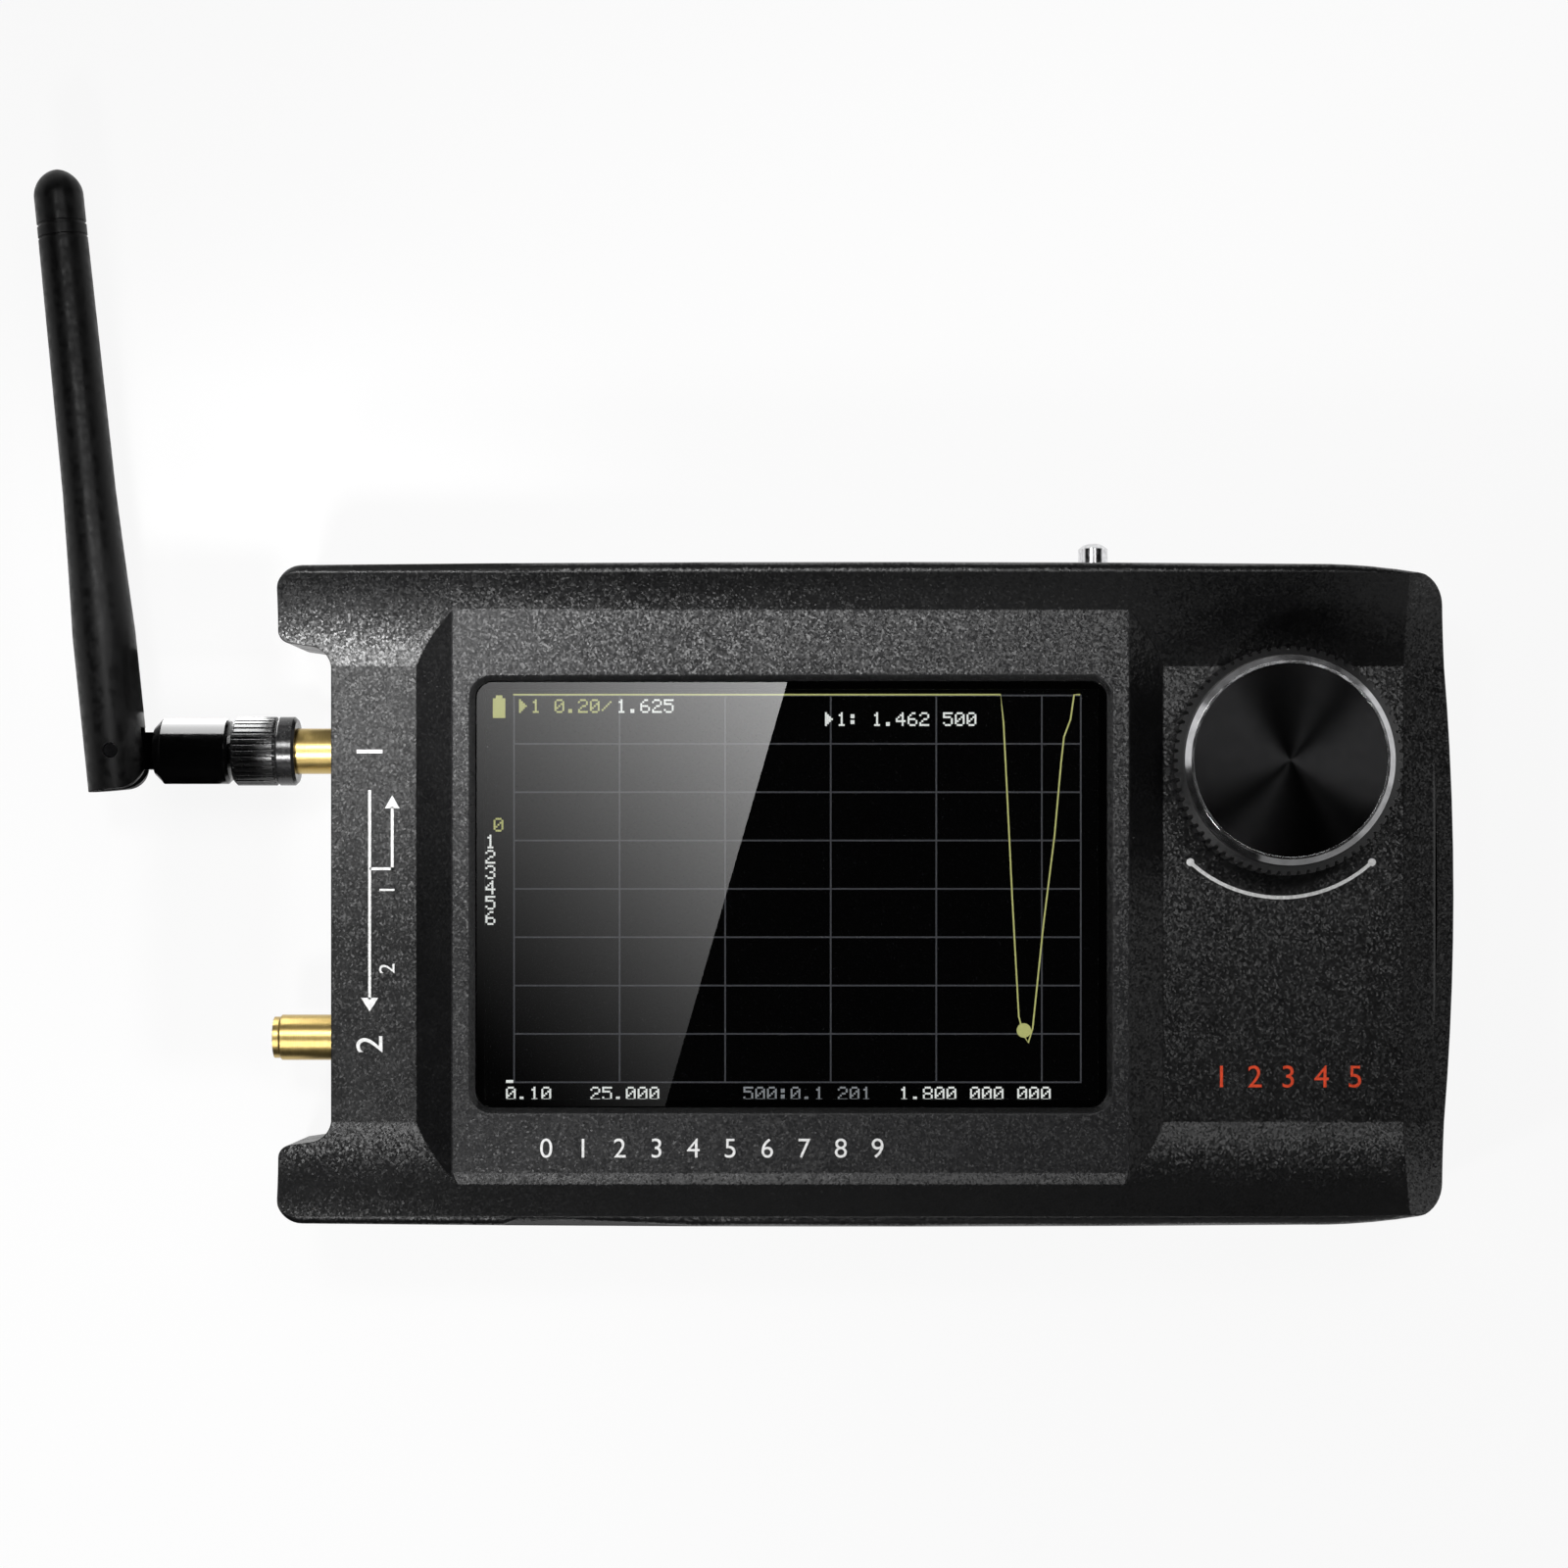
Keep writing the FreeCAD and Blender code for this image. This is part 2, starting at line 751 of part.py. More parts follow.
def cavity_outline(sketch):
    """Inside of the case's wall, which also hollows the ears."""
    add_loop(
        sketch,
        [
            ("-ear_heel_reach + wall", "-cavity_side"),
            ("end_corner_reach - wall", "-cavity_side"),
            ("end_corner_reach - wall", "cavity_side"),
            ("-ear_heel_reach + wall", "cavity_side"),
            ("-ear_heel_reach + wall", "ear_gap_outer + wall"),
            ("-recess_wall", "ear_gap_inner + wall"),
            ("-recess_wall", "-ear_gap_inner - wall"),
            ("-ear_heel_reach + wall", "-ear_gap_outer - wall"),
        ],
        {1: "end_bow"},
    )


def upright_edge_at(x, y):
    """A test for the upright edges over the points (x, y) and (x, -y)."""
    def test(edge):
        box = edge.BoundBox
        thin = box.XLength < 1e-3 and box.YLength < 1e-3
        return thin and abs(box.XMin - value(x)) < 0.01 and abs(abs(box.YMin) - value(y)) < 0.01
    return test


def round_corners(body):
    corners = {
        "heel": ("-ear_heel_reach", "side_reach_ear", "ear_corner"),
        "tip": ("-ear_reach", "ear_gap_outer", "ear_tip_corner"),
        "recess": ("-recess_reach", "ear_gap_inner", "recess_corner"),
        "end": ("end_corner_reach", "end_corner_side", "end_corner"),
    }
    for name, (x, y, radius) in corners.items():
        dress(body, "Fillet", f"{name}_corners", radius, upright_edge_at(x, y))


def outer_edge_at(height):
    """A test for the outline's edges that lie at one height."""
    def test(edge):
        box = edge.BoundBox
        return box.ZLength < 1e-3 and abs(box.ZMin - value(height)) < 1e-3
    return test


def screw_places():
    for x in ("-boss_left", "boss_right"):
        for y in ("-boss_side", "boss_side"):
            yield x, y


def post_places():
    for x in ("-post_left", "post_right"):
        for y in ("-post_side", "post_side"):
            yield x, y


def circles(body, name, offset, places, radius):
    sketch = new_sketch(body, name, "XY_Plane", offset)
    for x, y in places:
        add_circle(sketch, x, y, radius)
    return sketch


def jack_holes(body):
    """Half round clearance for each port through the recess wall."""
    sketch = new_sketch(body, "ports", "YZ_Plane", f"-recess_reach - {PAST}")
    for side in ("-port_side", "port_side"):
        add_circle(sketch, side, "parting_height", "port_root_radius + port_hole_gap")
    pocket(body, sketch, f"wall + 2 * {PAST}", reverse=True)


def make_front_shell():
    body = new_body("front_shell")
    outline = new_sketch(body, "outline", "XY_Plane", "parting_height")
    case_outline(outline)
    pad(body, outline, "rail_height - parting_height")
    round_corners(body)
    dress(body, "Fillet", "rolled_edge", "rail_roll", outer_edge_at("rail_height"))
    dress(body, "Chamfer", "seam", "seam_chamfer", outer_edge_at("parting_height"))

    # The trough between the rails: a flat that curves up into each rail
    trough = [
        ("-crease_side", "flat_height"),
        ("crease_side", "flat_height"),
        ("crest_side", "rail_height"),
        ("crest_side", "2 * rail_height"),
        ("-crest_side", "2 * rail_height"),
        ("-crest_side", "rail_height"),
    ]
    coves = {1: "cove_bow", 5: "cove_bow"}
    face = new_sketch(body, "trough", "YZ_Plane", f"-ear_reach - {PAST}")
    add_loop(face, trough, coves)
    pocket(body, face, f"ear_reach + {PAST} + end_slope_start", reverse=True)

    # Beyond the dial the same trough runs down to the right end
    slope = new_sketch(body, "end_slope", "YZ_Plane", "end_slope_start")
    add_loop(slope, trough, coves)
    angle = math.radians(value("end_slope_angle"))
    downhill = FreeCAD.Vector(math.cos(angle), 0, -math.sin(angle))
    pocket(body, slope, "end_reach", direction=downhill)

    # The display bezel, with sloped left and right sides, which dies into the coves
    bezel = new_sketch(body, "bezel", "XZ_Plane")
    add_loop(
        bezel,
        [
            ("-bezel_foot_left", "flat_height"),
            ("-bezel_foot_left", "flat_height - bezel_root"),
            ("bezel_foot_right", "flat_height - bezel_root"),
            ("bezel_foot_right", "flat_height"),
            ("bezel_face_right", "bezel_height"),
            ("-bezel_face_left", "bezel_height"),
        ],
    )
    pad(body, bezel, "bezel_half_span * 2", both_ways=True)

    seat = new_sketch(body, "window_seat", "XY_Plane", "bezel_height")
    add_box(seat, "window_x", "0", "(window_long / 2 + window_gap)", "(window_wide / 2 + window_gap)",
            "(window_corner + window_gap)")
    pocket(body, seat, "bezel_height - ledge_top")

    def window_rim(edge):
        reach = value("window_wide / 2 + 2 * window_gap")
        return outer_edge_at("bezel_height")(edge) and edge.BoundBox.YMax < reach
    dress(body, "Chamfer", "window_rim", "window_chamfer", window_rim)

    # Room inside, from the parting plane upward
    cavity = new_sketch(body, "cavity", "XY_Plane", "parting_height")
    cavity_outline(cavity)
    pocket(body, cavity, "roof - parting_height", reverse=True)
    room = new_sketch(body, "display_room", "XY_Plane", "parting_height")
    add_box(room, "window_x", "0", "(panel_long / 2 + tray_wall + display_room)",
            "(panel_wide / 2 + tray_wall + display_room)")
    pocket(body, room, "ledge_bottom - parting_height", reverse=True)
    core = new_sketch(body, "rail_cores", "XY_Plane", "parting_height")
    for side in ("", "-"):
        add_box(core, "0", f"{side}(rail_core_inner + cavity_side) / 2", "rail_core_reach",
                "rail_core_width / 2")
    pocket(body, core, "rail_core_height - parting_height", reverse=True)
    window = new_sketch(body, "window", "XY_Plane", "parting_height")
    add_box(window, "window_x", "0", "ledge_long / 2", "ledge_wide / 2")
    pocket(body, window, "rail_height - parting_height", reverse=True)

    # Bosses for the case screws and posts for the board
    bosses = circles(body, "bosses", "parting_height", screw_places(), "boss_radius")
    pad(body, bosses, "flat_height - wall / 2 - parting_height")
    inserts = circles(body, "insert_holes", "parting_height", screw_places(), "insert_radius")
    pocket(body, inserts, "insert_length", reverse=True)
    posts = circles(body, "posts", "board_top", post_places(), "post_radius")
    pad(body, posts, "flat_height - wall / 2 - board_top")
    holes = circles(body, "post_holes", "board_top", post_places(), "board_screw_hole")
    pocket(body, holes, "post_hole_depth", reverse=True)

    # Openings: ports, dial, power button, lower key and USB socket
    jack_holes(body)
    dial = circles(body, "dial_hole", f"roof - {PAST}", [("dial_x", "dial_side")], "bushing_hole")
    pocket(body, dial, f"wall + 2 * {PAST}", reverse=True)
    power = new_sketch(body, "power_hole", "XZ_Plane", "-rail_core_inner")
    add_circle(power, "power_x", "power_height", "power_radius + power_hole_gap")
    pocket(body, power, f"side_edge - rail_core_inner + {PAST}")
    key = new_sketch(body, "key_hole", "XZ_Plane", "rail_core_inner")
    add_box(key, "key_x", "key_height", "(key_half_width + key_hole_gap)", "(key_half_height + key_hole_gap)",
            "(key_round + key_hole_gap)")
    pocket(body, key, f"side_edge - rail_core_inner + {PAST}", reverse=True)
    usb = new_sketch(body, "usb_hole", "YZ_Plane", f"end_corner_reach - wall - {PAST}")
    add_box(usb, "usb_side", "usb_middle", "(usb_half_width + usb_hole_gap)",
            "(usb_height / 2 + usb_hole_gap)", "(usb_height / 2 + usb_hole_gap - usb_end_flat)")
    pocket(body, usb, f"wall + end_crown + 2 * {PAST}", reverse=True)


def make_back_shell():
    body = new_body("back_shell")
    outline = new_sketch(body, "outline", "XY_Plane")
    case_outline(outline)
    pad(body, outline, "parting_height")
    round_corners(body)
    dress(body, "Fillet", "back_edge", "back_edge", outer_edge_at("0"))
    dress(body, "Chamfer", "seam", "seam_chamfer", outer_edge_at("parting_height"))
    cavity = new_sketch(body, "cavity", "XY_Plane", "wall")
    cavity_outline(cavity)
    pocket(body, cavity, "parting_height - wall", reverse=True)
    bosses = circles(body, "bosses", "wall / 2", screw_places(), "boss_radius")
    pad(body, bosses, "parting_height - wall / 2")
    heads = circles(body, "head_holes", "0", screw_places(), "screw_head_radius + screw_head_gap")
    pocket(body, heads, "screw_head_depth + screw_head_height", reverse=True)
    shanks = circles(body, "shank_holes", "0", screw_places(), "screw_hole_radius")
    pocket(body, shanks, "parting_height", reverse=True)
    jack_holes(body)


def make_fasteners():
    """Case screws, their brass inserts, and the board's screws."""
    screws = new_body("case_screws")
    screws.AllowCompound = True
    heads = circles(screws, "heads", "screw_head_depth", screw_places(), "screw_head_radius")
    pad(screws, heads, "screw_head_height")
    shanks = circles(screws, "shanks", "screw_head_depth", screw_places(), "screw_radius")
    pad(screws, shanks, "screw_head_height + screw_length")
    drives = circles(screws, "drives", "screw_head_depth", screw_places(), "drive_radius")
    pocket(screws, drives, "drive_depth", reverse=True)

    inserts = new_body("thread_inserts")
    inserts.AllowCompound = True
    rings = new_sketch(inserts, "rings", "XY_Plane", "parting_height")
    for x, y in screw_places():
        add_circle(rings, x, y, "insert_radius")
        add_circle(rings, x, y, "insert_bore")
    pad(inserts, rings, "insert_length")

    small = new_body("board_screws")
    small.AllowCompound = True
    under = "board_bottom - board_screw_head_height"
    caps = circles(small, "heads", under, post_places(), "board_screw_head")
    pad(small, caps, "board_screw_head_height")
    stems = circles(small, "shanks", "board_bottom", post_places(), "board_screw_radius")
    pad(small, stems, "board_thick + board_screw_bite")


def make_display():
    lens = new_body("lens")
    pane = new_sketch(lens, "pane", "XY_Plane", "lens_bottom")
    add_box(pane, "window_x", "0", "window_long / 2", "window_wide / 2", "window_corner")
    pad(lens, pane, "lens_thick")

    gasket = new_body("lens_gasket")
    frame = new_sketch(gasket, "frame", "XY_Plane", "ledge_top")
    add_box(frame, "window_x", "0", "window_long / 2", "window_wide / 2", "window_corner")
    add_box(frame, "window_x", "0", "ledge_long / 2", "ledge_wide / 2")
    pad(gasket, frame, "gasket_thick")

    node(centred_block("lcd_panel", "window_x", "0", "panel_bottom", "panel_long", "panel_wide",
                       "panel_thick"), "lcd_panel")
    long_x = "(panel_long + 2 * tray_gap + 2 * tray_wall)"
    long_y = "(panel_wide + 2 * tray_gap + 2 * tray_wall)"
    outer = centred_block("tray_outer", "window_x", "0", "tray_bottom", long_x, long_y,
                          "(tray_floor + tray_lip)")
    inner = centred_block("tray_inner", "window_x", "0", "panel_bottom", "(panel_long + 2 * tray_gap)",
                          "(panel_wide + 2 * tray_gap)", f"(tray_lip + {PAST})")
    node(cut("lcd_tray", outer, inner), "lcd_tray")

    socket = centred_block("lcd_socket", "ribbon_start - ribbon_socket_long / 2", "0", "board_top",
                           "ribbon_socket_long", "(ribbon_width + ribbon_socket_extra)",
                           "ribbon_socket_height")
    node(socket, "lcd_socket")

    # The flat cable leaves the tray, turns back on itself and meets its socket on the board
    ribbon = new_body("lcd_ribbon")
    strip = new_sketch(ribbon, "strip", "XZ_Plane")
    low = "(board_top + ribbon_thick)"
    turn = f"((tray_bottom - {low}) / 2)"
    add_loop(
        strip,
        [
            ("ribbon_start", low),
            ("ribbon_bend", low),
            (f"ribbon_bend + {turn}", f"{low} + {turn}"),
            ("ribbon_bend", "tray_bottom"),
            ("ribbon_start", "tray_bottom"),
            ("ribbon_start", "tray_bottom - ribbon_thick"),
            ("ribbon_bend", "tray_bottom - ribbon_thick"),
            (f"ribbon_bend + {turn} - ribbon_thick", f"{low} + {turn}"),
            ("ribbon_bend", f"{low} + ribbon_thick"),
            ("ribbon_start", f"{low} + ribbon_thick"),
        ],
        {1: turn, 2: turn, 6: f"-({turn} - ribbon_thick)", 7: f"-({turn} - ribbon_thick)"},
    )
    pad(ribbon, strip, "ribbon_width", both_ways=True)


def make_electronics():
    board = new_body("main_board")
    slab = new_sketch(board, "slab", "XY_Plane", "board_bottom")
    add_loop(
        slab,
        [
            ("-board_left", "-board_half_width"),
            ("board_right", "-board_half_width"),
            ("board_right", "board_half_width"),
            ("-board_left", "board_half_width"),
        ],
    )
    pad(board, slab, "board_thick")
    notches = new_sketch(board, "notches", "XY_Plane", "board_bottom")
    for side in ("-port_side", "port_side"):
        add_box(notches, "-board_left", side, "notch_length", "notch_half_width")
    pocket(board, notches, "board_thick", reverse=True)
    clearance = "board_screw_radius + board_hole_gap"
    holes = circles(board, "screw_holes", "board_bottom", post_places(), clearance)
    pocket(board, holes, "board_thick", reverse=True)

    chips = {
        "processor": ("processor_x", "processor_y", "processor_side", "processor_side"),
        "synthesizer": ("synthesizer_x", "0", "synthesizer_side", "synthesizer_side"),
        "crystal": ("processor_x", "crystal_y", "crystal_long", "crystal_wide"),
    }
    for label, (x, y, long_x, long_y) in chips.items():
        node(centred_block(label, x, y, "board_top", long_x, long_y, f"{label}_height"), label)
    for number, side in ((1, "port_side"), (2, "-port_side")):
        shell = centred_block(f"shield_{number}_outer", "shield_x", side, "board_top", "shield_long",
                              "shield_wide", "shield_height")
        room = centred_block(f"shield_{number}_room", "shield_x", side, "board_top",
                             "(shield_long - 2 * shield_wall)", "(shield_wide - 2 * shield_wall)",
                             "(shield_height - shield_wall)")
        node(cut(f"rf_shield_{number}", shell, room), f"rf_shield_{number}")

    for label, x, side in (("power_switch_body", "power_x", 1), ("key_switch_body", "key_x", -1)):
        low = "switch_inner" if side > 0 else "-switch_outer"
        node(block(label, f"{x} - switch_half_width", low, "board_top", "switch_half_width * 2",
                   "switch_depth", "switch_height"), label)

    shell = new_body("usb_socket")
    ring = new_sketch(shell, "ring", "YZ_Plane", "usb_back")
    add_box(ring, "usb_side", "usb_middle", "usb_half_width", "(usb_height / 2)",
            "(usb_height / 2 - usb_end_flat)")
    pad(shell, ring, "usb_length")
    mouth = new_sketch(shell, "mouth", "YZ_Plane", "usb_back + usb_back_wall")
    add_box(mouth, "usb_side", "usb_middle", "(usb_half_width - usb_wall)", "(usb_height / 2 - usb_wall)",
            "(usb_height / 2 - usb_wall - usb_end_flat)")
    pocket(shell, mouth, "usb_length", reverse=True)
    node(block("usb_tongue", "usb_back + usb_back_wall", "usb_side - tongue_half_width",
               "usb_middle - tongue_thick / 2", "usb_length - usb_back_wall - tongue_inset",
               "tongue_half_width * 2", "tongue_thick"), "usb_tongue")


def make_port(number, side):
    """A threaded coaxial jack that looks out of the recess at the left end."""
    spun_piece(
        f"port_{number}_jack",
        [
            ("-port_tip", "port_seat_radius"),
            ("-port_tip + port_seat_depth", "port_seat_radius"),
            ("-port_tip + port_seat_depth", "port_bore"),
            ("-flange_face", "port_bore"),
            ("-flange_face", "flange_side / 2"),
            ("-recess_wall", "flange_side / 2"),
            ("-recess_wall", "port_root_radius"),
            ("-recess_reach - thread_clear", "port_root_radius"),
            ("-recess_reach - thread_clear", "thread_radius"),
            ("-port_tip + port_neck_length + thread_depth", "thread_radius"),
            ("-port_tip + port_neck_length", "port_neck_radius"),
            ("-port_tip", "port_neck_radius"),
        ],
        y=side,
        z="parting_height",
    )
    spun_piece(
        f"port_{number}_insulator",
        [
            ("-port_tip + port_seat_depth", "contact_radius"),
            ("-flange_face", "contact_radius"),
            ("-flange_face", "port_bore"),
            ("-port_tip + port_seat_depth", "port_bore"),
        ],
        y=side,
        z="parting_height",
    )
    spun_piece(
        f"port_{number}_contact",
        [
            ("-port_tip + port_seat_depth", "contact_bore"),
            ("-port_tip + port_seat_depth + contact_bore_depth", "contact_bore"),
            ("-port_tip + port_seat_depth + contact_bore_depth", "0"),
            ("-flange_face + contact_tail", "0"),
            ("-flange_face + contact_tail", "contact_radius"),
            ("-port_tip + port_seat_depth", "contact_radius"),
        ],
        y=side,
        z="parting_height",
    )


def make_battery():
    cell = new_body("battery_cell")
    side = new_sketch(cell, "side", "XY_Plane", "wall + pad_thick")
    add_box(side, "battery_x", "0", "battery_long / 2", "battery_wide / 2")
    pad(cell, side, "battery_thick")

    def long_edge(edge):
        box = edge.BoundBox
        return box.XLength > value("battery_long") - 0.1
    dress(cell, "Fillet", "long_edges", "battery_round", long_edge)
    node(centred_block("battery_pad", "battery_x", "0", "wall", "(battery_long - 2 * pad_inset)",
                       "(battery_wide - 2 * pad_inset)", "pad_thick"), "battery_pad")

    plug = ("plug_x", "plug_side - plug_length / 2", "lead_height - plug_height / 2",
            "(plug_half_width * 2)", "plug_length", "plug_height")
    node(centred_block("battery_plug", *plug), "battery_plug")
    long_x = "(plug_half_width * 2 + socket_wall * 2)"
    outer = centred_block("socket_outer", "plug_x", "plug_side - plug_proud - socket_length / 2",
                          "socket_base", long_x, "socket_length", "(board_bottom - socket_base)")
    inner = centred_block("socket_mouth", *plug)
    node(cut("battery_socket", outer, inner), "battery_socket")

    # The lead runs straight from the cell, turns twice and ends square on the plug
    middle = value("lead_height")
    cell_end = value("battery_x + battery_long / 2")
    far = value("plug_x")
    start_side = value("lead_side")
    end_side = value("plug_side")
    bend = (start_side - end_side) / 2
    route = [
        FreeCAD.Vector(cell_end, start_side, middle),
        FreeCAD.Vector(far - bend, start_side, middle),
        FreeCAD.Vector(far, start_side - bend, middle),
        FreeCAD.Vector(far, end_side, middle),
    ]
    lead = doc.addObject("Part::Feature", "battery_lead")
    lead.Shape = tube_along(route, value("lead_radius"))
    lead.Placement = FreeCAD.Placement()
    node(lead, "battery_lead")


def tube_along(route, radius):
    """A round tube on straight runs that are joined by tangent arcs."""
    edges = []
    length = 0
    at = route[0]
    for before, corner, after in zip(route, route[1:], route[2:]):
        into = (corner - before).normalize()
        away = (after - corner).normalize()
        half_turn = into.getAngle(away) / 2
        shorter = min((corner - before).Length, (after - corner).Length)
        reach = 0.45 * shorter
        bend_radius = reach / math.tan(half_turn)
        start = corner - into * reach
        end = corner + away * reach
        sag = bend_radius * (1 / math.cos(half_turn) - 1)
        middle = corner + (away - into).normalize() * sag
        print(f"lead bend radius {bend_radius:.2f} mm")
        edges.append(Part.LineSegment(at, start).toShape())
        edges.append(Part.Arc(start, middle, end).toShape())
        length += (start - at).Length + bend_radius * 2 * half_turn
        at = end
    edges.append(Part.LineSegment(at, route[-1]).toShape())
    length += (route[-1] - at).Length
    path = Part.Wire(edges)
    section = Part.Wire(Part.Circle(route[0], (route[1] - route[0]).normalize(), radius).toShape())
    tube = path.makePipeShell([section], True, False)
    print(f"lead length {length:.2f} mm, volume ratio {tube.Volume / (math.pi * radius ** 2 * length):.4f}")
    return tube


def make_encoder():
    """Rotary encoder on the board: its threaded bushing holds it in the panel, under the dial."""
    housing = new_body("encoder_body")
    base = new_sketch(housing, "base", "XY_Plane")
    add_box(base, "0", "0", "encoder_width / 2", "encoder_width / 2", "encoder_corner")
    pad(housing, base, "encoder_height")
    throat = circles(housing, "throat", "encoder_floor", [("0", "0")], "bushing_bore")
    pocket(housing, throat, "encoder_height", reverse=True)
    place(housing, "dial_x", "dial_side", "board_top")

    bottom = "board_top + encoder_height"
    upright_piece(
        "encoder_bushing",
        [
            ("bushing_bore", bottom),
            ("bushing_radius", bottom),
            ("bushing_radius", "flat_height + bushing_rise"),
            ("bushing_bore", "flat_height + bushing_rise"),
        ],
        x="dial_x",
        y="dial_side",
    )
    washer = new_body("encoder_washer")
    ring = circles(washer, "ring", "flat_height", [("0", "0")], "washer_radius")
    add_circle(ring, "0", "0", "bushing_radius + bushing_gap")
    pad(washer, ring, "washer_thick")
    place(washer, "dial_x", "dial_side")

    nut = new_body("encoder_nut")
    hexagon = new_sketch(nut, "hexagon", "XY_Plane", "flat_height + washer_thick")
    corners = []
    for i in range(6):
        turn = f"({60 * i} deg)"
        corners.append((f"encoder_nut_radius * cos{turn}", f"encoder_nut_radius * sin{turn}"))
    add_loop(hexagon, corners)
    add_circle(hexagon, "0", "0", "bushing_radius + encoder_nut_fit")
    pad(nut, hexagon, "encoder_nut_height")
    place(nut, "dial_x", "dial_side")


def make_dial():
    """Plunger, shaft, knob with a toothed grip, polished rim, spun face plate and grub screw."""
    upright_piece(
        "encoder_plunger",
        [
            ("0", "plunger_bottom"),
            ("plunger_radius", "plunger_bottom"),
            ("plunger_radius", "plunger_top"),
            ("0", "plunger_top"),
        ],
        x="dial_x",
        y="dial_side",
    )
    upright_piece(
        "encoder_shaft",
        [
            ("0", "plunger_top"),
            ("shaft_radius", "plunger_top"),
            ("shaft_radius", "shaft_top - shaft_chamfer"),
            ("shaft_radius - shaft_chamfer", "shaft_top"),
            ("0", "shaft_top"),
        ],
        x="dial_x",
        y="dial_side",
    )

    knob = upright_piece(
        "dial_knob",
        [
            ("knob_bore", "knob_recess_top"),
            ("knob_recess_radius", "knob_recess_top"),
            ("knob_recess_radius", "knob_bottom"),
            ("knob_radius - knob_foot_chamfer", "knob_bottom"),
            ("knob_radius", "knob_bottom + knob_foot_chamfer"),
            ("knob_radius", "knob_skirt_top - knob_shoulder_drop"),
            ("knob_shoulder_radius", "knob_skirt_top"),
            ("rim_inner_radius", "knob_skirt_top"),
            ("rim_inner_radius", "face_bottom"),
            ("0", "face_bottom"),
            ("0", "shaft_top"),
            ("knob_bore", "shaft_top"),
        ],
        x="dial_x",
        y="dial_side",
    )
    notch = new_sketch(knob, "notch", "XY_Plane", "knob_bottom")
    notch_outline(notch, "knob_radius", "tooth_depth", "notch_root", "notch_mouth")
    groove = pocket(knob, notch, "knob_skirt_height", reverse=True)
    repeat_round(knob, notch, groove, "knob_teeth")
    hole = new_sketch(knob, "grub_hole", "XZ_Plane", f"-shaft_radius + {PAST}")
    add_circle(hole, "0", "knob_bottom + grub_rise", "grub_radius")
    pocket(knob, hole, "knob_radius")

    upright_piece(
        "dial_rim",
        [
            ("rim_inner_radius", "knob_skirt_top"),
            ("rim_outer_radius", "knob_skirt_top"),
            ("rim_outer_radius", "knob_top - rim_bevel"),
            ("rim_outer_radius - rim_bevel", "knob_top"),
            ("rim_inner_radius", "knob_top"),
        ],
        x="dial_x",
        y="dial_side",
    )
    upright_piece(
        "dial_face",
        [
            ("0", "face_bottom"),
            ("rim_inner_radius", "face_bottom"),
            ("rim_inner_radius", "face_top"),
            ("0", "face_top"),
        ],
        x="dial_x",
        y="dial_side",
    )
    grub = new_body("dial_grub_screw")
    rod = new_sketch(grub, "rod", "XZ_Plane", "-shaft_radius")
    add_circle(rod, "0", "0", "grub_radius")
    pad(grub, rod, "grub_length", reverse=True)
    place(grub, "dial_x", "dial_side", "knob_bottom + grub_rise")


def make_buttons():
    """Domed power button in the top edge and a small key in the lower edge."""
    button = new_body("power_button")
    profile = new_sketch(button, "profile", "XY_Plane")
    add_loop(
        profile,
        [
            ("0", "power_stem_reach"),
            ("power_stem_radius", "power_stem_reach"),
            ("power_stem_radius", "power_face - power_flange_thick"),
            ("power_flange_radius", "power_face - power_flange_thick"),
            ("power_flange_radius", "power_face"),
            ("power_radius", "power_face"),
            ("power_radius", "power_tip - power_dome"),
            ("power_crown", "power_tip"),
            ("0", "power_tip"),
        ],
        {6: "power_dome_bow"},
    )
    spin(button, "Revolution", profile, "V_Axis")
    place(button, "power_x", "0", "power_height")

    key = new_body("side_key")
    flange = new_sketch(key, "flange", "XZ_Plane", "key_face")
    add_box(flange, "key_x", "key_height", "(key_half_width + key_flange_extra)",
            "(key_half_height + key_flange_extra)", "key_round")
    pad(key, flange, "key_face - key_stem_reach", reverse=True)
    cap = new_sketch(key, "cap", "XZ_Plane", "key_stem_reach")
    add_box(cap, "key_x", "key_height", "key_half_width", "key_half_height", "key_round")
    pad(key, cap, "side_edge + key_proud - key_stem_reach")


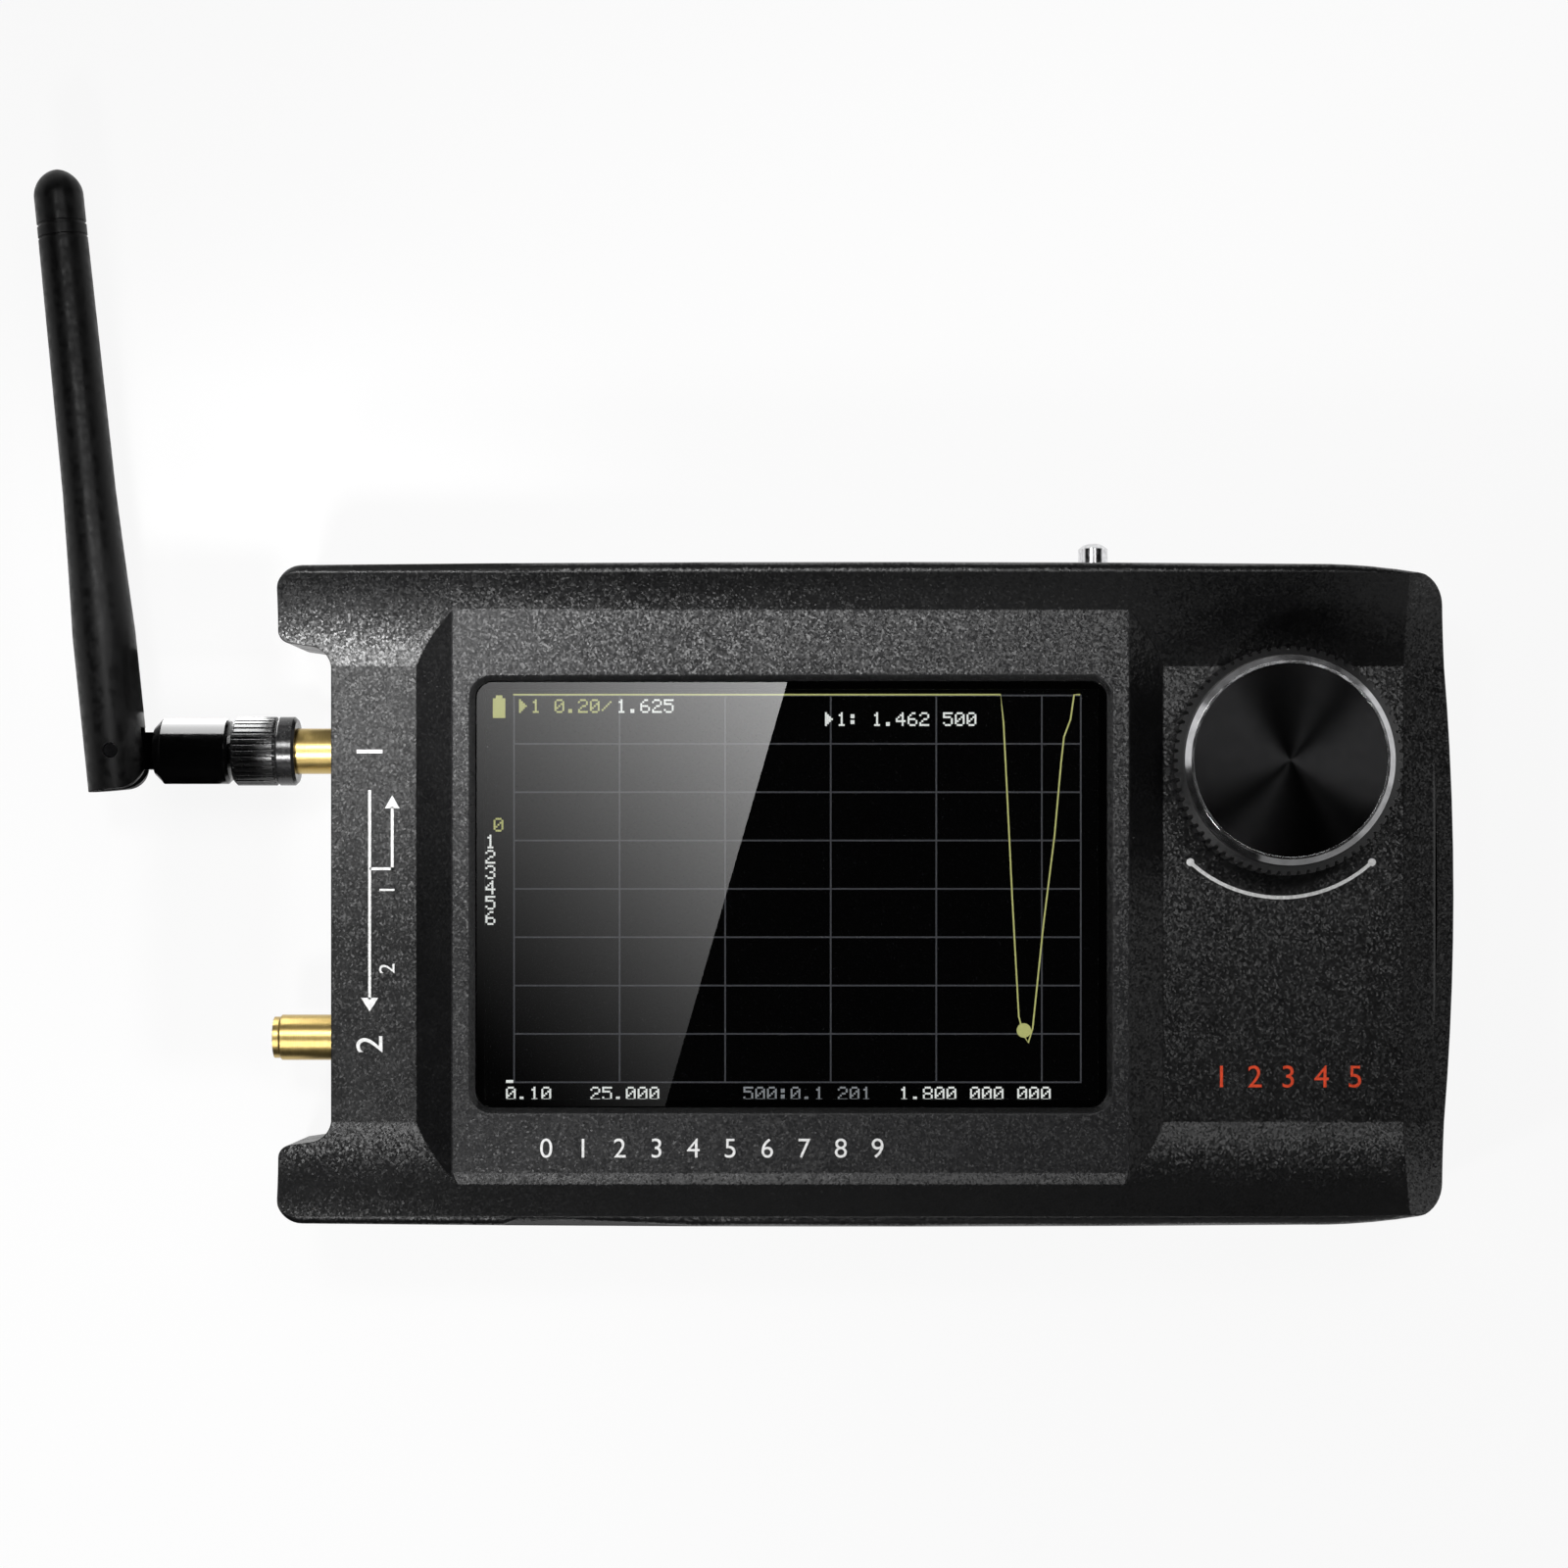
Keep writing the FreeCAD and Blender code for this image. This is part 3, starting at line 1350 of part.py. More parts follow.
def make_whip_plug():
    """Coaxial plug of the whip: ferrule, centre pin, insulator, captive nut and its snap ring."""
    spun_piece(
        "antenna_ferrule",
        [
            ("-ferrule_end", "ferrule_bore"),
            ("-plug_plane", "ferrule_bore"),
            ("-plug_plane", "ferrule_radius"),
            ("-shoulder_face", "ferrule_radius"),
            ("-shoulder_face", "ferrule_shoulder"),
            ("-shoulder_back", "ferrule_shoulder"),
            ("-shoulder_back", "ferrule_neck"),
            ("-ferrule_end", "ferrule_neck"),
        ],
        y="port_side",
        z="parting_height",
    )
    spun_piece(
        "antenna_insulator",
        [
            ("-ferrule_end + whip_insulator_inset", "whip_stem_radius"),
            ("-plug_plane - whip_pin_step", "whip_stem_radius"),
            ("-plug_plane - whip_pin_step", "ferrule_bore"),
            ("-ferrule_end + whip_insulator_inset", "ferrule_bore"),
        ],
        y="port_side",
        z="parting_height",
    )
    spun_piece(
        "antenna_contact",
        [
            ("-ferrule_end", "0"),
            ("-plug_plane + whip_pin_reach", "0"),
            ("-plug_plane + whip_pin_reach - whip_pin_point", "whip_pin_radius"),
            ("-plug_plane - whip_pin_point", "whip_pin_radius"),
            ("-plug_plane - whip_pin_point - whip_pin_step", "whip_stem_radius"),
            ("-ferrule_end", "whip_stem_radius"),
        ],
        y="port_side",
        z="parting_height",
    )
    spun_piece(
        "nut_snap_ring",
        [
            ("-groove_middle - ring_length / 2", "ring_inner"),
            ("-groove_middle + ring_length / 2", "ring_inner"),
            ("-groove_middle + ring_length / 2", "ring_outer"),
            ("-groove_middle - ring_length / 2", "ring_outer"),
        ],
        y="port_side",
        z="parting_height",
    )
    nut = spun_piece(
        "antenna_nut",
        [
            ("-nut_back", "nut_lip_bore"),
            ("-groove_middle - nut_groove_length / 2", "nut_lip_bore"),
            ("-groove_middle - nut_groove_length / 2", "nut_groove_bore"),
            ("-groove_middle + nut_groove_length / 2", "nut_groove_bore"),
            ("-groove_middle + nut_groove_length / 2", "nut_lip_bore"),
            ("-nut_lip_face", "nut_lip_bore"),
            ("-nut_lip_face", "nut_bore"),
            ("-nut_front", "nut_bore"),
            ("-nut_front", "nut_radius - nut_edge"),
            ("-nut_front - nut_edge", "nut_radius"),
            ("-nut_front - nut_flange", "nut_radius"),
            ("-nut_front - nut_flange - nut_knurl_depth", "nut_radius - nut_knurl_depth"),
            ("-nut_front - nut_flange - 2 * nut_knurl_depth", "nut_radius"),
            ("-nut_back + nut_end_chamfer", "nut_radius"),
            ("-nut_back", "nut_radius - nut_end_chamfer"),
        ],
        y="port_side",
        z="parting_height",
    )
    rib = new_sketch(nut, "rib_gap", "YZ_Plane", "-nut_back")
    notch_outline(rib, "nut_radius", "nut_knurl_depth", "rib_gap_root", "rib_gap_mouth")
    gap = pocket(nut, rib, "nut_length - nut_flange - nut_knurl_depth", reverse=True)
    repeat_round(nut, rib, gap, "nut_ribs")


def make_elbow():
    """Right angle housing behind the nut, with the tongue and pin of the fold hinge."""
    elbow = spun_piece(
        "antenna_elbow",
        [
            ("-ferrule_end - elbow_end_gap", "elbow_bore"),
            ("-elbow_front", "elbow_bore"),
            ("-elbow_front", "elbow_radius - elbow_edge"),
            ("-elbow_front - elbow_edge", "elbow_radius"),
            ("-elbow_back + elbow_chamfer", "elbow_radius"),
            ("-elbow_back", "elbow_radius - elbow_chamfer"),
            ("-elbow_back", "0"),
            ("-ferrule_end - elbow_end_gap", "0"),
        ],
        y="port_side",
        z="parting_height",
    )
    tongue = new_sketch(elbow, "tongue", "XY_Plane")
    half = "(tongue_height / 2)"
    add_loop(
        tongue,
        [
            ("-hinge_reach", f"-{half}"),
            ("-elbow_back + elbow_root", f"-{half}"),
            ("-elbow_back + elbow_root", half),
            ("-hinge_reach", half),
            (f"-hinge_reach - {half}", "0"),
        ],
        {3: half, 4: half},
    )
    pad(elbow, tongue, "tongue_width", both_ways=True)
    hole = new_sketch(elbow, "pin_hole", "XY_Plane", "-tongue_width")
    add_circle(hole, "-hinge_reach", "0", "hinge_pin_radius + hinge_pin_fit")
    pocket(elbow, hole, "tongue_width * 2", reverse=True)

    pin = new_body("hinge_pin")
    rod = new_sketch(pin, "rod", "XY_Plane", "-hinge_pin_half")
    add_circle(rod, "0", "0", "hinge_pin_radius")
    pad(pin, rod, "hinge_pin_half * 2")
    place(pin, "-hinge_reach", "port_side", "parting_height")


def lean(item):
    """Stand a blade piece on the hinge pin, leaning away from the case."""
    item.Placement.Rotation = FreeCAD.Rotation(AXES["Z"], value("blade_lean"))
    tie(item, "Placement.Rotation.Angle", "blade_lean")
    place(item, "-hinge_reach", "port_side", "parting_height")


def blade_piece(label, profile, bows=None):
    """A turned piece about the blade's own length; the profile is (radius, distance from the pin) pairs."""
    body = new_body(label)
    sketch = new_sketch(body, "profile", "XY_Plane")
    add_loop(sketch, profile, bows)
    spin(body, "Revolution", sketch, "V_Axis")
    return body


def make_blade():
    """Moulded whip with a slotted hinge end, a cap, and the radiator inside it."""
    sleeve = blade_piece(
        "antenna_sleeve",
        [
            ("0", "-blade_heel"),
            ("blade_radius", "-blade_heel"),
            ("blade_radius", "blade_straight"),
            ("blade_waist_radius", "blade_waist"),
            ("blade_neck_radius", "blade_neck"),
            ("radiator_radius", "blade_neck"),
            ("radiator_radius", "radiator_start"),
            ("0", "radiator_start"),
        ],
        {2: "-blade_bow"},
    )
    slot = new_sketch(sleeve, "slot", "XY_Plane")
    reach = "(tongue_height / 2 + blade_slot_room)"
    add_loop(
        slot,
        [
            (f"-{reach}", f"-blade_heel - {PAST}"),
            (f"blade_radius + {PAST}", f"-blade_heel - {PAST}"),
            (f"blade_radius + {PAST}", reach),
            ("0", reach),
            (f"-{reach}", "0"),
        ],
        {3: reach},
    )
    pocket(sleeve, slot, "blade_slot_half * 2", both_ways=True)
    heel = new_sketch(sleeve, "heel_corner", "XY_Plane")
    add_loop(
        heel,
        [
            ("blade_radius - blade_heel_corner", "-blade_heel"),
            ("blade_radius - blade_heel_corner", f"-blade_heel - {PAST}"),
            (f"blade_radius + {PAST}", f"-blade_heel - {PAST}"),
            (f"blade_radius + {PAST}", "-blade_heel + blade_heel_corner"),
            ("blade_radius", "-blade_heel + blade_heel_corner"),
        ],
        {4: "-blade_heel_corner"},
    )
    pocket(sleeve, heel, f"2 * (blade_radius + {PAST})", both_ways=True)
    hole = new_sketch(sleeve, "pin_hole", "XY_Plane", f"-blade_radius - {PAST}")
    add_circle(hole, "0", "0", "hinge_pin_radius + hinge_pin_play")
    pocket(sleeve, hole, f"2 * (blade_radius + {PAST})", reverse=True)
    lean(sleeve)

    cap = blade_piece(
        "antenna_cap",
        [
            ("0", "radiator_end"),
            ("radiator_radius", "radiator_end"),
            ("radiator_radius", "blade_neck"),
            ("blade_neck_radius - ring_cut", "blade_neck"),
            ("blade_neck_radius - ring_cut", "first_cut"),
            ("blade_neck_radius", "first_cut"),
            ("blade_neck_radius", "second_cut"),
            ("blade_neck_radius - ring_cut", "second_cut"),
            ("blade_neck_radius - ring_cut", "second_cut + ring_cut_width"),
            ("blade_neck_radius", "second_cut + ring_cut_width"),
            ("blade_neck_radius", "blade_tip - blade_tip_round"),
            ("blade_crown", "blade_tip"),
            ("0", "blade_tip"),
        ],
        {10: "blade_tip_bow"},
    )
    lean(cap)
    radiator = blade_piece(
        "antenna_radiator",
        [
            ("core_radius", "radiator_start"),
            ("radiator_radius", "radiator_start"),
            ("radiator_radius", "radiator_end"),
            ("core_radius", "radiator_end"),
        ],
    )
    lean(radiator)
    core = blade_piece(
        "antenna_core",
        [
            ("0", "radiator_start"),
            ("core_radius", "radiator_start"),
            ("core_radius", "radiator_end"),
            ("0", "radiator_end"),
        ],
    )
    lean(core)


def write_parts():
    """Check every object, then write one file for each sub-part."""
    doc.recompute()
    for item in doc.Objects:
        if "Invalid" in item.State or "Error" in item.State:
            raise RuntimeError(f"{item.Name} failed: {item.State}")
    for item in NODES:
        if item.Shape.isNull() or not item.Shape.isValid():
            raise RuntimeError(f"{item.Label} has no valid shape")
    os.makedirs("parts", exist_ok=True)
    for item in NODES:
        item.Shape.exportStep(f"parts/{item.Label}.step")
    print(f"{len(NODES)} sub-parts written")


make_front_shell()
make_back_shell()
make_fasteners()
make_display()
make_electronics()
make_port(1, "port_side")
make_port(2, "-port_side")
make_battery()
make_encoder()
make_dial()
make_buttons()
make_whip_plug()
make_elbow()
make_blade()
write_parts()
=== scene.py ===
import math

import bmesh
import bpy
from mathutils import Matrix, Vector


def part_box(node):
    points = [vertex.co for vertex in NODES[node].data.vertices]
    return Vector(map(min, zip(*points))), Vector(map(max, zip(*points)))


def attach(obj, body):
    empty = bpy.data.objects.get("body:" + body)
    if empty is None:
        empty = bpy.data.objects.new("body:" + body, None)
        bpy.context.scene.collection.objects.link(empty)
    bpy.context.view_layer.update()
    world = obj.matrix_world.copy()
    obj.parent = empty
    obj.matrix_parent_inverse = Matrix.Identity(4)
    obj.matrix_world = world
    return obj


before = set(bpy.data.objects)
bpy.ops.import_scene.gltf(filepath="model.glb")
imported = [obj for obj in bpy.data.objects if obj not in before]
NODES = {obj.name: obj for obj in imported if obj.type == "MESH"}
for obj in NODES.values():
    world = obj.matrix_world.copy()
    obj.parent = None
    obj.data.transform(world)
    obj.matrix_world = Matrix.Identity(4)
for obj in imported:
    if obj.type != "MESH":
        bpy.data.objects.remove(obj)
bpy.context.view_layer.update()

MM = 0.001

# The photograph's frame and what it shows of the case
IMAGE_SIDE = 1600
CASE_CENTRE_PX = (882, 912.5)
FACE_HEIGHT = 25 * MM
CAMERA_DISTANCE = 500 * MM
PX_PER_MM = 7.5

# Heights of the surfaces that carry marks, read from the model, in millimetres
PANEL_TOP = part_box("lcd_panel")[1][2] / MM
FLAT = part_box("encoder_washer")[0][2] / MM
BEZEL_RISE = 2.9
BEZEL = FLAT + BEZEL_RISE
MARK_THICK = 0.03

# The raised screen frame in plan, and how far below its top its paler tone starts and is full, in millimetres
BEZEL_X = (-56.4, 36.3)
BEZEL_Y = (-38.9, 38.9)
TONE_START, TONE_FULL = 0.35, 0.05

# Printed marks, in millimetres and degrees; a capital takes up its share of the font's size
PRINT_LINE = 0.4
ARC_LINE = 0.5
ARC_RADIUS = 18.45
ARC_HALF_ANGLE = 42.5
ARC_STEPS = 40
CAPITAL_SHARE = 0.69

# The display's grid, in millimetres
GRID_LEFT, GRID_RIGHT = -48.2, 29.6
GRID_TOP, GRID_BOTTOM = 27.4, -25.7
GRID_COLUMN = 14.49
GRID_ROWS = 8
GRID_LINE = 0.22
TRACE_LINE = 0.21

# Its dot letters: the size of a dot in millimetres, the share of it that is lit, and the dots from one letter
# to the next
DOT = 0.27
DOT_LIT = 0.94
LETTER_DOTS = 6
DIGITS = {
    "0": "01110 10001 10011 10101 11001 10001 01110",
    "1": "00100 01100 00100 00100 00100 00100 01110",
    "2": "01110 10001 00001 00110 01000 10000 11111",
    "3": "01110 10001 00001 00110 00001 10001 01110",
    "4": "00010 00110 01010 10010 11111 00010 00010",
    "5": "11111 10000 11110 00001 00001 10001 01110",
    "6": "00110 01000 10000 11110 10001 10001 01110",
    "7": "11111 00001 00010 00100 01000 01000 01000",
    "8": "01110 10001 10001 01110 10001 10001 01110",
    "9": "01110 10001 10001 01111 00001 00010 01100",
    ".": "00000 00000 00000 00000 00000 01100 01100",
    ":": "00000 01100 01100 00000 01100 01100 00000",
    "/": "00000 00001 00010 00100 01000 10000 00000",
    ">": "10000 11000 11100 11110 11100 11000 10000",
    " ": "00000 00000 00000 00000 00000 00000 00000",
}

# Colour sockets of the Mix node, which share their names with its other sockets
MIX_A, MIX_B, MIX_RESULT = 6, 7, 2

# The room as it looks and as it lights, towards the horizon and overhead, where 1 is white
HORIZON_WHITE, ZENITH_WHITE = 1.0, 0.004
HORIZON_FILL, ZENITH_FILL = 0.68, 0.05

# The floor: how much of its look is plain white, and its reach in metres
FLOOR_GLOW_SHARE = 0.9
FLOOR_REACH = 6.0

# The softbox that the glass mirrors: its height in metres, its outline on the glass in millimetres and how
# much larger it is up there, and how its glow grows towards the upper right
SKY_CARD_HEIGHT = 0.4225
SKY_CARD_SPREAD = 1.796
SKY_CARD_OUTLINE = ((-118, -62), (-36.8, -62), (-1, 62), (-118, 62))
SKY_CARD_SLOPE = (3.37, 3.48, 0)
SKY_CARD_START = 0.513
SKY_CARD_LEAST = 0.05
SKY_CARD_POWER = 2.4
SKY_CARD_GLOW = 9.5

# Cards in a ring round the dial, in millimetres; each has its first and last direction in degrees and its glow
DIAL_CENTRE = (57.2, 18)
DIAL_CARD_REACH = 200
DIAL_CARD_HEIGHT = 120
DIAL_CARDS = (
    ("dial_card_left", 182, 258, 0.01),
    ("dial_card_front", 258, 318, 0.3),
    ("dial_card_right", 318, 350, 0.5),
    ("dial_card_back", 40, 90, 0.05),
    ("dial_card_upper", 90, 143, 0.2),
)

# Cards at the elbow, in millimetres: how high they start, and the gap to the dark ones behind them
CARD_LIFT = 0.5
CARD_GAP = 0.1


def place_camera():
    """Looks straight down on the display from half a metre, with the long side level in the frame."""
    data = bpy.data.cameras.new("camera")
    data.sensor_width = 36
    data.lens = PX_PER_MM * CAMERA_DISTANCE / MM * data.sensor_width / IMAGE_SIDE
    data.shift_x = (IMAGE_SIDE / 2 - CASE_CENTRE_PX[0]) / IMAGE_SIDE
    data.shift_y = (CASE_CENTRE_PX[1] - IMAGE_SIDE / 2) / IMAGE_SIDE
    data.clip_start = 0.01
    camera = bpy.data.objects.new("camera", data)
    camera.location = (0, 0, FACE_HEIGHT + CAMERA_DISTANCE)
    bpy.context.collection.objects.link(camera)
    bpy.context.scene.camera = camera


class Shader:
    """A node material built around one Principled shader."""

    def __init__(self, name, color, roughness, metallic=0.0, **settings):
        self.material = bpy.data.materials.new(name)
        self.material.use_nodes = True
        self.tree = self.material.node_tree
        self.bsdf = self.tree.nodes["Principled BSDF"]
        self.bsdf.inputs["Base Color"].default_value = (*color, 1)
        self.bsdf.inputs["Roughness"].default_value = roughness
        self.bsdf.inputs["Metallic"].default_value = metallic
        for socket, setting in settings.items():
            self.bsdf.inputs[socket.replace("_", " ")].default_value = setting
        self.coordinates = None
        self.normal = None

    def add(self, kind, **inputs):
        node = self.tree.nodes.new(kind)
        for socket, setting in inputs.items():
            node.inputs[socket.replace("_", " ")].default_value = setting
        return node

    def link(self, output, socket):
        self.tree.links.new(output, socket)

    def place(self, size, stretch=(1, 1, 1)):
        """Object coordinates scaled so that one unit is size metres."""
        if self.coordinates is None:
            self.coordinates = self.add("ShaderNodeTexCoord").outputs["Object"]
        mapping = self.add("ShaderNodeMapping")
        mapping.inputs["Scale"].default_value = [part / size for part in stretch]
        self.link(self.coordinates, mapping.inputs["Vector"])
        return mapping.outputs["Vector"]

    def noise(self, size, detail=2.0, stretch=(1, 1, 1)):
        """Noise whose features are about size metres across."""
        texture = self.add("ShaderNodeTexNoise", Scale=1.0, Detail=detail)
        self.link(self.place(size, stretch), texture.inputs["Vector"])
        return texture.outputs["Fac"]

    def ramp(self, source, low, high, start=0.0, end=1.0):
        """Maps a value between start and end onto low to high."""
        node = self.add("ShaderNodeMapRange")
        node.inputs["From Min"].default_value = start
        node.inputs["From Max"].default_value = end
        node.inputs["To Min"].default_value = low
        node.inputs["To Max"].default_value = high
        self.link(source, node.inputs["Value"])
        return node.outputs["Result"]

    def vector(self, operation, *parts):
        """Vector arithmetic on outputs and constant vectors."""
        node = self.add("ShaderNodeVectorMath")
        node.operation = operation
        for part, socket in zip(parts, node.inputs):
            if isinstance(part, tuple):
                socket.default_value = part
            else:
                self.link(part, socket)
        return node.outputs["Vector"]

    def vary_color(self, source, dark, bright, start=0.35, end=0.65):
        """Base colour runs between two colours with a value."""
        mix = self.add("ShaderNodeMix")
        mix.data_type = "RGBA"
        mix.inputs[MIX_A].default_value = (*dark, 1)
        mix.inputs[MIX_B].default_value = (*bright, 1)
        self.link(self.ramp(source, 0, 1, start, end), mix.inputs[0])
        self.link(mix.outputs[MIX_RESULT], self.bsdf.inputs["Base Color"])

    def vary_roughness(self, source, low, high, start=0.35, end=0.65):
        self.link(self.ramp(source, low, high, start, end), self.bsdf.inputs["Roughness"])

    def bump(self, source, strength, depth):
        node = self.add("ShaderNodeBump", Strength=strength, Distance=depth)
        self.link(source, node.inputs["Height"])
        if self.normal is not None:
            self.link(self.normal, node.inputs["Normal"])
        self.turn_normal(node.outputs["Normal"])

    def soften(self, radius):
        """Rounds sharp edges in shading only."""
        node = self.add("ShaderNodeBevel", Radius=radius)
        node.samples = 6
        self.turn_normal(node.outputs["Normal"])

    def sparkle(self, size, tilt):
        """Tips each grain's surface a little way at random, so that some grains catch a light."""
        cells = self.add("ShaderNodeTexVoronoi", Scale=1.0)
        self.link(self.place(size), cells.inputs["Vector"])
        swing = self.vector("SUBTRACT", cells.outputs["Color"], (0.5, 0.5, 0.5))
        swing = self.vector("MULTIPLY", swing, (tilt, tilt, tilt))
        self.turn_normal(self.vector("NORMALIZE", self.vector("ADD", self.normal, swing)))

    def turn_normal(self, output):
        self.normal = output
        self.link(output, self.bsdf.inputs["Normal"])

    def wear(self, names):
        for name in names:
            paint(NODES[name], self.material)


def paint(piece, material):
    piece.data.materials.clear()
    piece.data.materials.append(material)
    for face in piece.data.polygons:
        face.material_index = 0


def case_plastic():
    """Near-black moulding whose spark-eroded grain glints; the raised screen frame is a shade lighter."""
    shader = Shader("case_plastic", (0.01, 0.01, 0.01), 0.34)
    shader.soften(0.3 * MM)
    shader.sparkle(0.25 * MM, 0.26)
    point = shader.add("ShaderNodeSeparateXYZ")
    shader.link(shader.place(1), point.inputs[0])
    on_frame = shader.ramp(point.outputs["Z"], 0, 1, (BEZEL - TONE_START) * MM, (BEZEL - TONE_FULL) * MM)
    for axis, (low, high) in (("X", BEZEL_X), ("Y", BEZEL_Y)):
        between = shader.add("ShaderNodeMath")
        between.operation = "COMPARE"
        shader.link(point.outputs[axis], between.inputs[0])
        between.inputs[1].default_value = (low + high) / 2 * MM
        between.inputs[2].default_value = (high - low) / 2 * MM
        both = shader.add("ShaderNodeMath")
        both.operation = "MULTIPLY"
        shader.link(on_frame, both.inputs[0])
        shader.link(between.outputs[0], both.inputs[1])
        on_frame = both.outputs[0]
    shader.vary_color(on_frame, (0.003, 0.003, 0.0033), (0.012, 0.012, 0.0128), 0, 1)
    shader.vary_roughness(shader.noise(4 * MM), 0.32, 0.36)
    return shader


def plain(name, color, roughness, metallic=0.0, grain=0.5 * MM, depth=0.01 * MM, soft=0.12 * MM, **settings):
    """Smooth surface with a faint unevenness in gloss, tone and shape."""
    shader = Shader(name, color, roughness, metallic, **settings)
    shader.soften(soft)
    uneven = shader.noise(grain)
    shader.vary_roughness(uneven, roughness * 0.8, min(roughness * 1.25, 1))
    shader.vary_color(uneven, [part * 0.88 for part in color], [min(part * 1.12, 1) for part in color])
    shader.bump(uneven, 0.3, depth)
    return shader


def glowing(name, color, strength):
    """Lit display cells with a faint cell to cell difference."""
    shader = Shader(name, (0.01, 0.01, 0.01), 0.4)
    shader.bsdf.inputs["Emission Color"].default_value = (*color, 1)
    cells = shader.noise(0.25 * MM)
    shader.link(shader.ramp(cells, strength * 0.85, strength * 1.15), shader.bsdf.inputs["Emission Strength"])
    return shader.material


def finish_case():
    case_plastic().wear(["front_shell", "back_shell"])
    plain("black_screw", (0.02, 0.02, 0.021), 0.38, 0.7).wear(["case_screws", "dial_grub_screw"])
    plain("brass", (0.62, 0.45, 0.2), 0.3, 1.0).wear(
        ["thread_inserts", "encoder_bushing", "antenna_radiator"])
    plain("gasket", (0.01, 0.01, 0.01), 0.7).wear(["lens_gasket", "battery_pad"])
    plain("steel", (0.5, 0.5, 0.51), 0.32, 1.0).wear(
        ["lcd_tray", "board_screws", "usb_socket", "encoder_washer", "encoder_nut", "encoder_shaft",
         "nut_snap_ring"])
    plain("black_package", (0.015, 0.015, 0.016), 0.45).wear(
        ["processor", "synthesizer", "lcd_ribbon", "usb_tongue", "encoder_body", "power_switch_body",
         "key_switch_body"])
    plain("can", (0.62, 0.62, 0.63), 0.25, 1.0).wear(["crystal", "rf_shield_1", "rf_shield_2"])
    plain("nylon", (0.75, 0.75, 0.71), 0.45).wear(
        ["lcd_socket", "battery_plug", "battery_socket", "encoder_plunger"])
    plain("white_insulator", (0.82, 0.82, 0.79), 0.4).wear(
        ["port_1_insulator", "port_2_insulator", "antenna_insulator", "antenna_core"])
    plain("solder_mask", (0.012, 0.09, 0.04), 0.3).wear(["main_board"])
    plain("cell_wrap", (0.25, 0.3, 0.34), 0.25).wear(["battery_cell"])
    plain("lead_sleeve", (0.5, 0.02, 0.015), 0.35).wear(["battery_lead"])


def finish_display():
    glass = Shader("display_glass", (1, 1, 1), 0.0, IOR=2.0, Transmission_Weight=1.0)
    glass.vary_color(glass.noise(9 * MM, detail=4), (0.97, 0.98, 0.98), (1, 1, 1))
    glass.wear(["lens"])
    panel = Shader("display_panel", (0.0006, 0.0006, 0.0008), 0.25, Specular_IOR_Level=0.05)
    panel.vary_roughness(panel.noise(0.2 * MM), 0.2, 0.3)
    panel.wear(["lcd_panel"])


def finish_gold():
    """Gold plate with faint turning marks round each jack."""
    shader = Shader("gold_plate", (0.56, 0.41, 0.15), 0.22, 1.0)
    shader.soften(0.05 * MM)
    turning = shader.noise(0.25 * MM, detail=1, stretch=(4, 0.2, 0.2))
    shader.vary_roughness(turning, 0.28, 0.4)
    shader.vary_color(turning, (0.52, 0.38, 0.13), (0.6, 0.44, 0.17))
    shader.bump(turning, 0.2, 0.01 * MM)
    shader.wear(["port_1_jack", "port_2_jack", "port_1_contact", "port_2_contact", "antenna_contact"])


def finish_dial():
    plain("dial_black", (0.012, 0.012, 0.0125), 0.38).wear(["dial_knob"])
    plain("dial_chrome", (0.5, 0.5, 0.51), 0.16, 1.0, grain=2 * MM, depth=0.001 * MM, soft=0.06 * MM).wear(
        ["dial_rim"])
    spun = Shader("spun_face", (0.02, 0.02, 0.0205), 0.22, 1.0, Anisotropic=0.95)
    tangent = spun.add("ShaderNodeTangent")
    tangent.direction_type = "RADIAL"
    tangent.axis = "Z"
    spun.link(tangent.outputs["Tangent"], spun.bsdf.inputs["Tangent"])
    spun.vary_color(spun.noise(1.5 * MM), (0.018, 0.018, 0.0185), (0.022, 0.022, 0.0225))
    spun.wear(["dial_face"])


def finish_buttons():
    plain("button_chrome", (0.72, 0.72, 0.73), 0.16, 1.0).wear(["power_button"])
    plain("key_black", (0.012, 0.012, 0.013), 0.4).wear(["side_key"])


def finish_antenna():
    plain("whip_black", (0.002, 0.002, 0.0021), 0.4, grain=1.2 * MM, Specular_IOR_Level=0.2).wear(
        ["antenna_sleeve", "antenna_cap"])
    plain("elbow_black", (0.003, 0.003, 0.0033), 0.14, Specular_IOR_Level=0.3).wear(
        ["antenna_elbow", "hinge_pin"])
    plain("nut_black", (0.012, 0.012, 0.0125), 0.22).wear(["antenna_nut", "antenna_ferrule"])


def keep_piece(name, mesh, material):
    """Turns a mesh into a piece fixed to the case."""
    mesh.materials.clear()
    mesh.materials.append(material)
    piece = bpy.data.objects.new(name, mesh)
    bpy.context.collection.objects.link(piece)
    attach(piece, "case")


def new_piece(name, build, material):
    """A mesh piece that build fills in, in millimetres."""
    maker = bmesh.new()
    build(maker)
    bmesh.ops.scale(maker, vec=(MM, MM, MM), verts=maker.verts)
    mesh = bpy.data.meshes.new(name)
    maker.to_mesh(mesh)
    maker.free()
    keep_piece(name, mesh, material)


def slab(maker, outline, low, high):
    """A thin plate with the given anticlockwise outline."""
    floor = [maker.verts.new((x, y, low)) for x, y in outline]
    top = [maker.verts.new((x, y, high)) for x, y in outline]
    maker.faces.new(list(reversed(floor)))
    maker.faces.new(top)
    for i in range(len(outline)):
        after = (i + 1) % len(outline)
        maker.faces.new((floor[i], floor[after], top[after], top[i]))


def bar(maker, left, low, right, high, height):
    slab(maker, [(left, low), (right, low), (right, high), (left, high)], height, height + MARK_THICK)


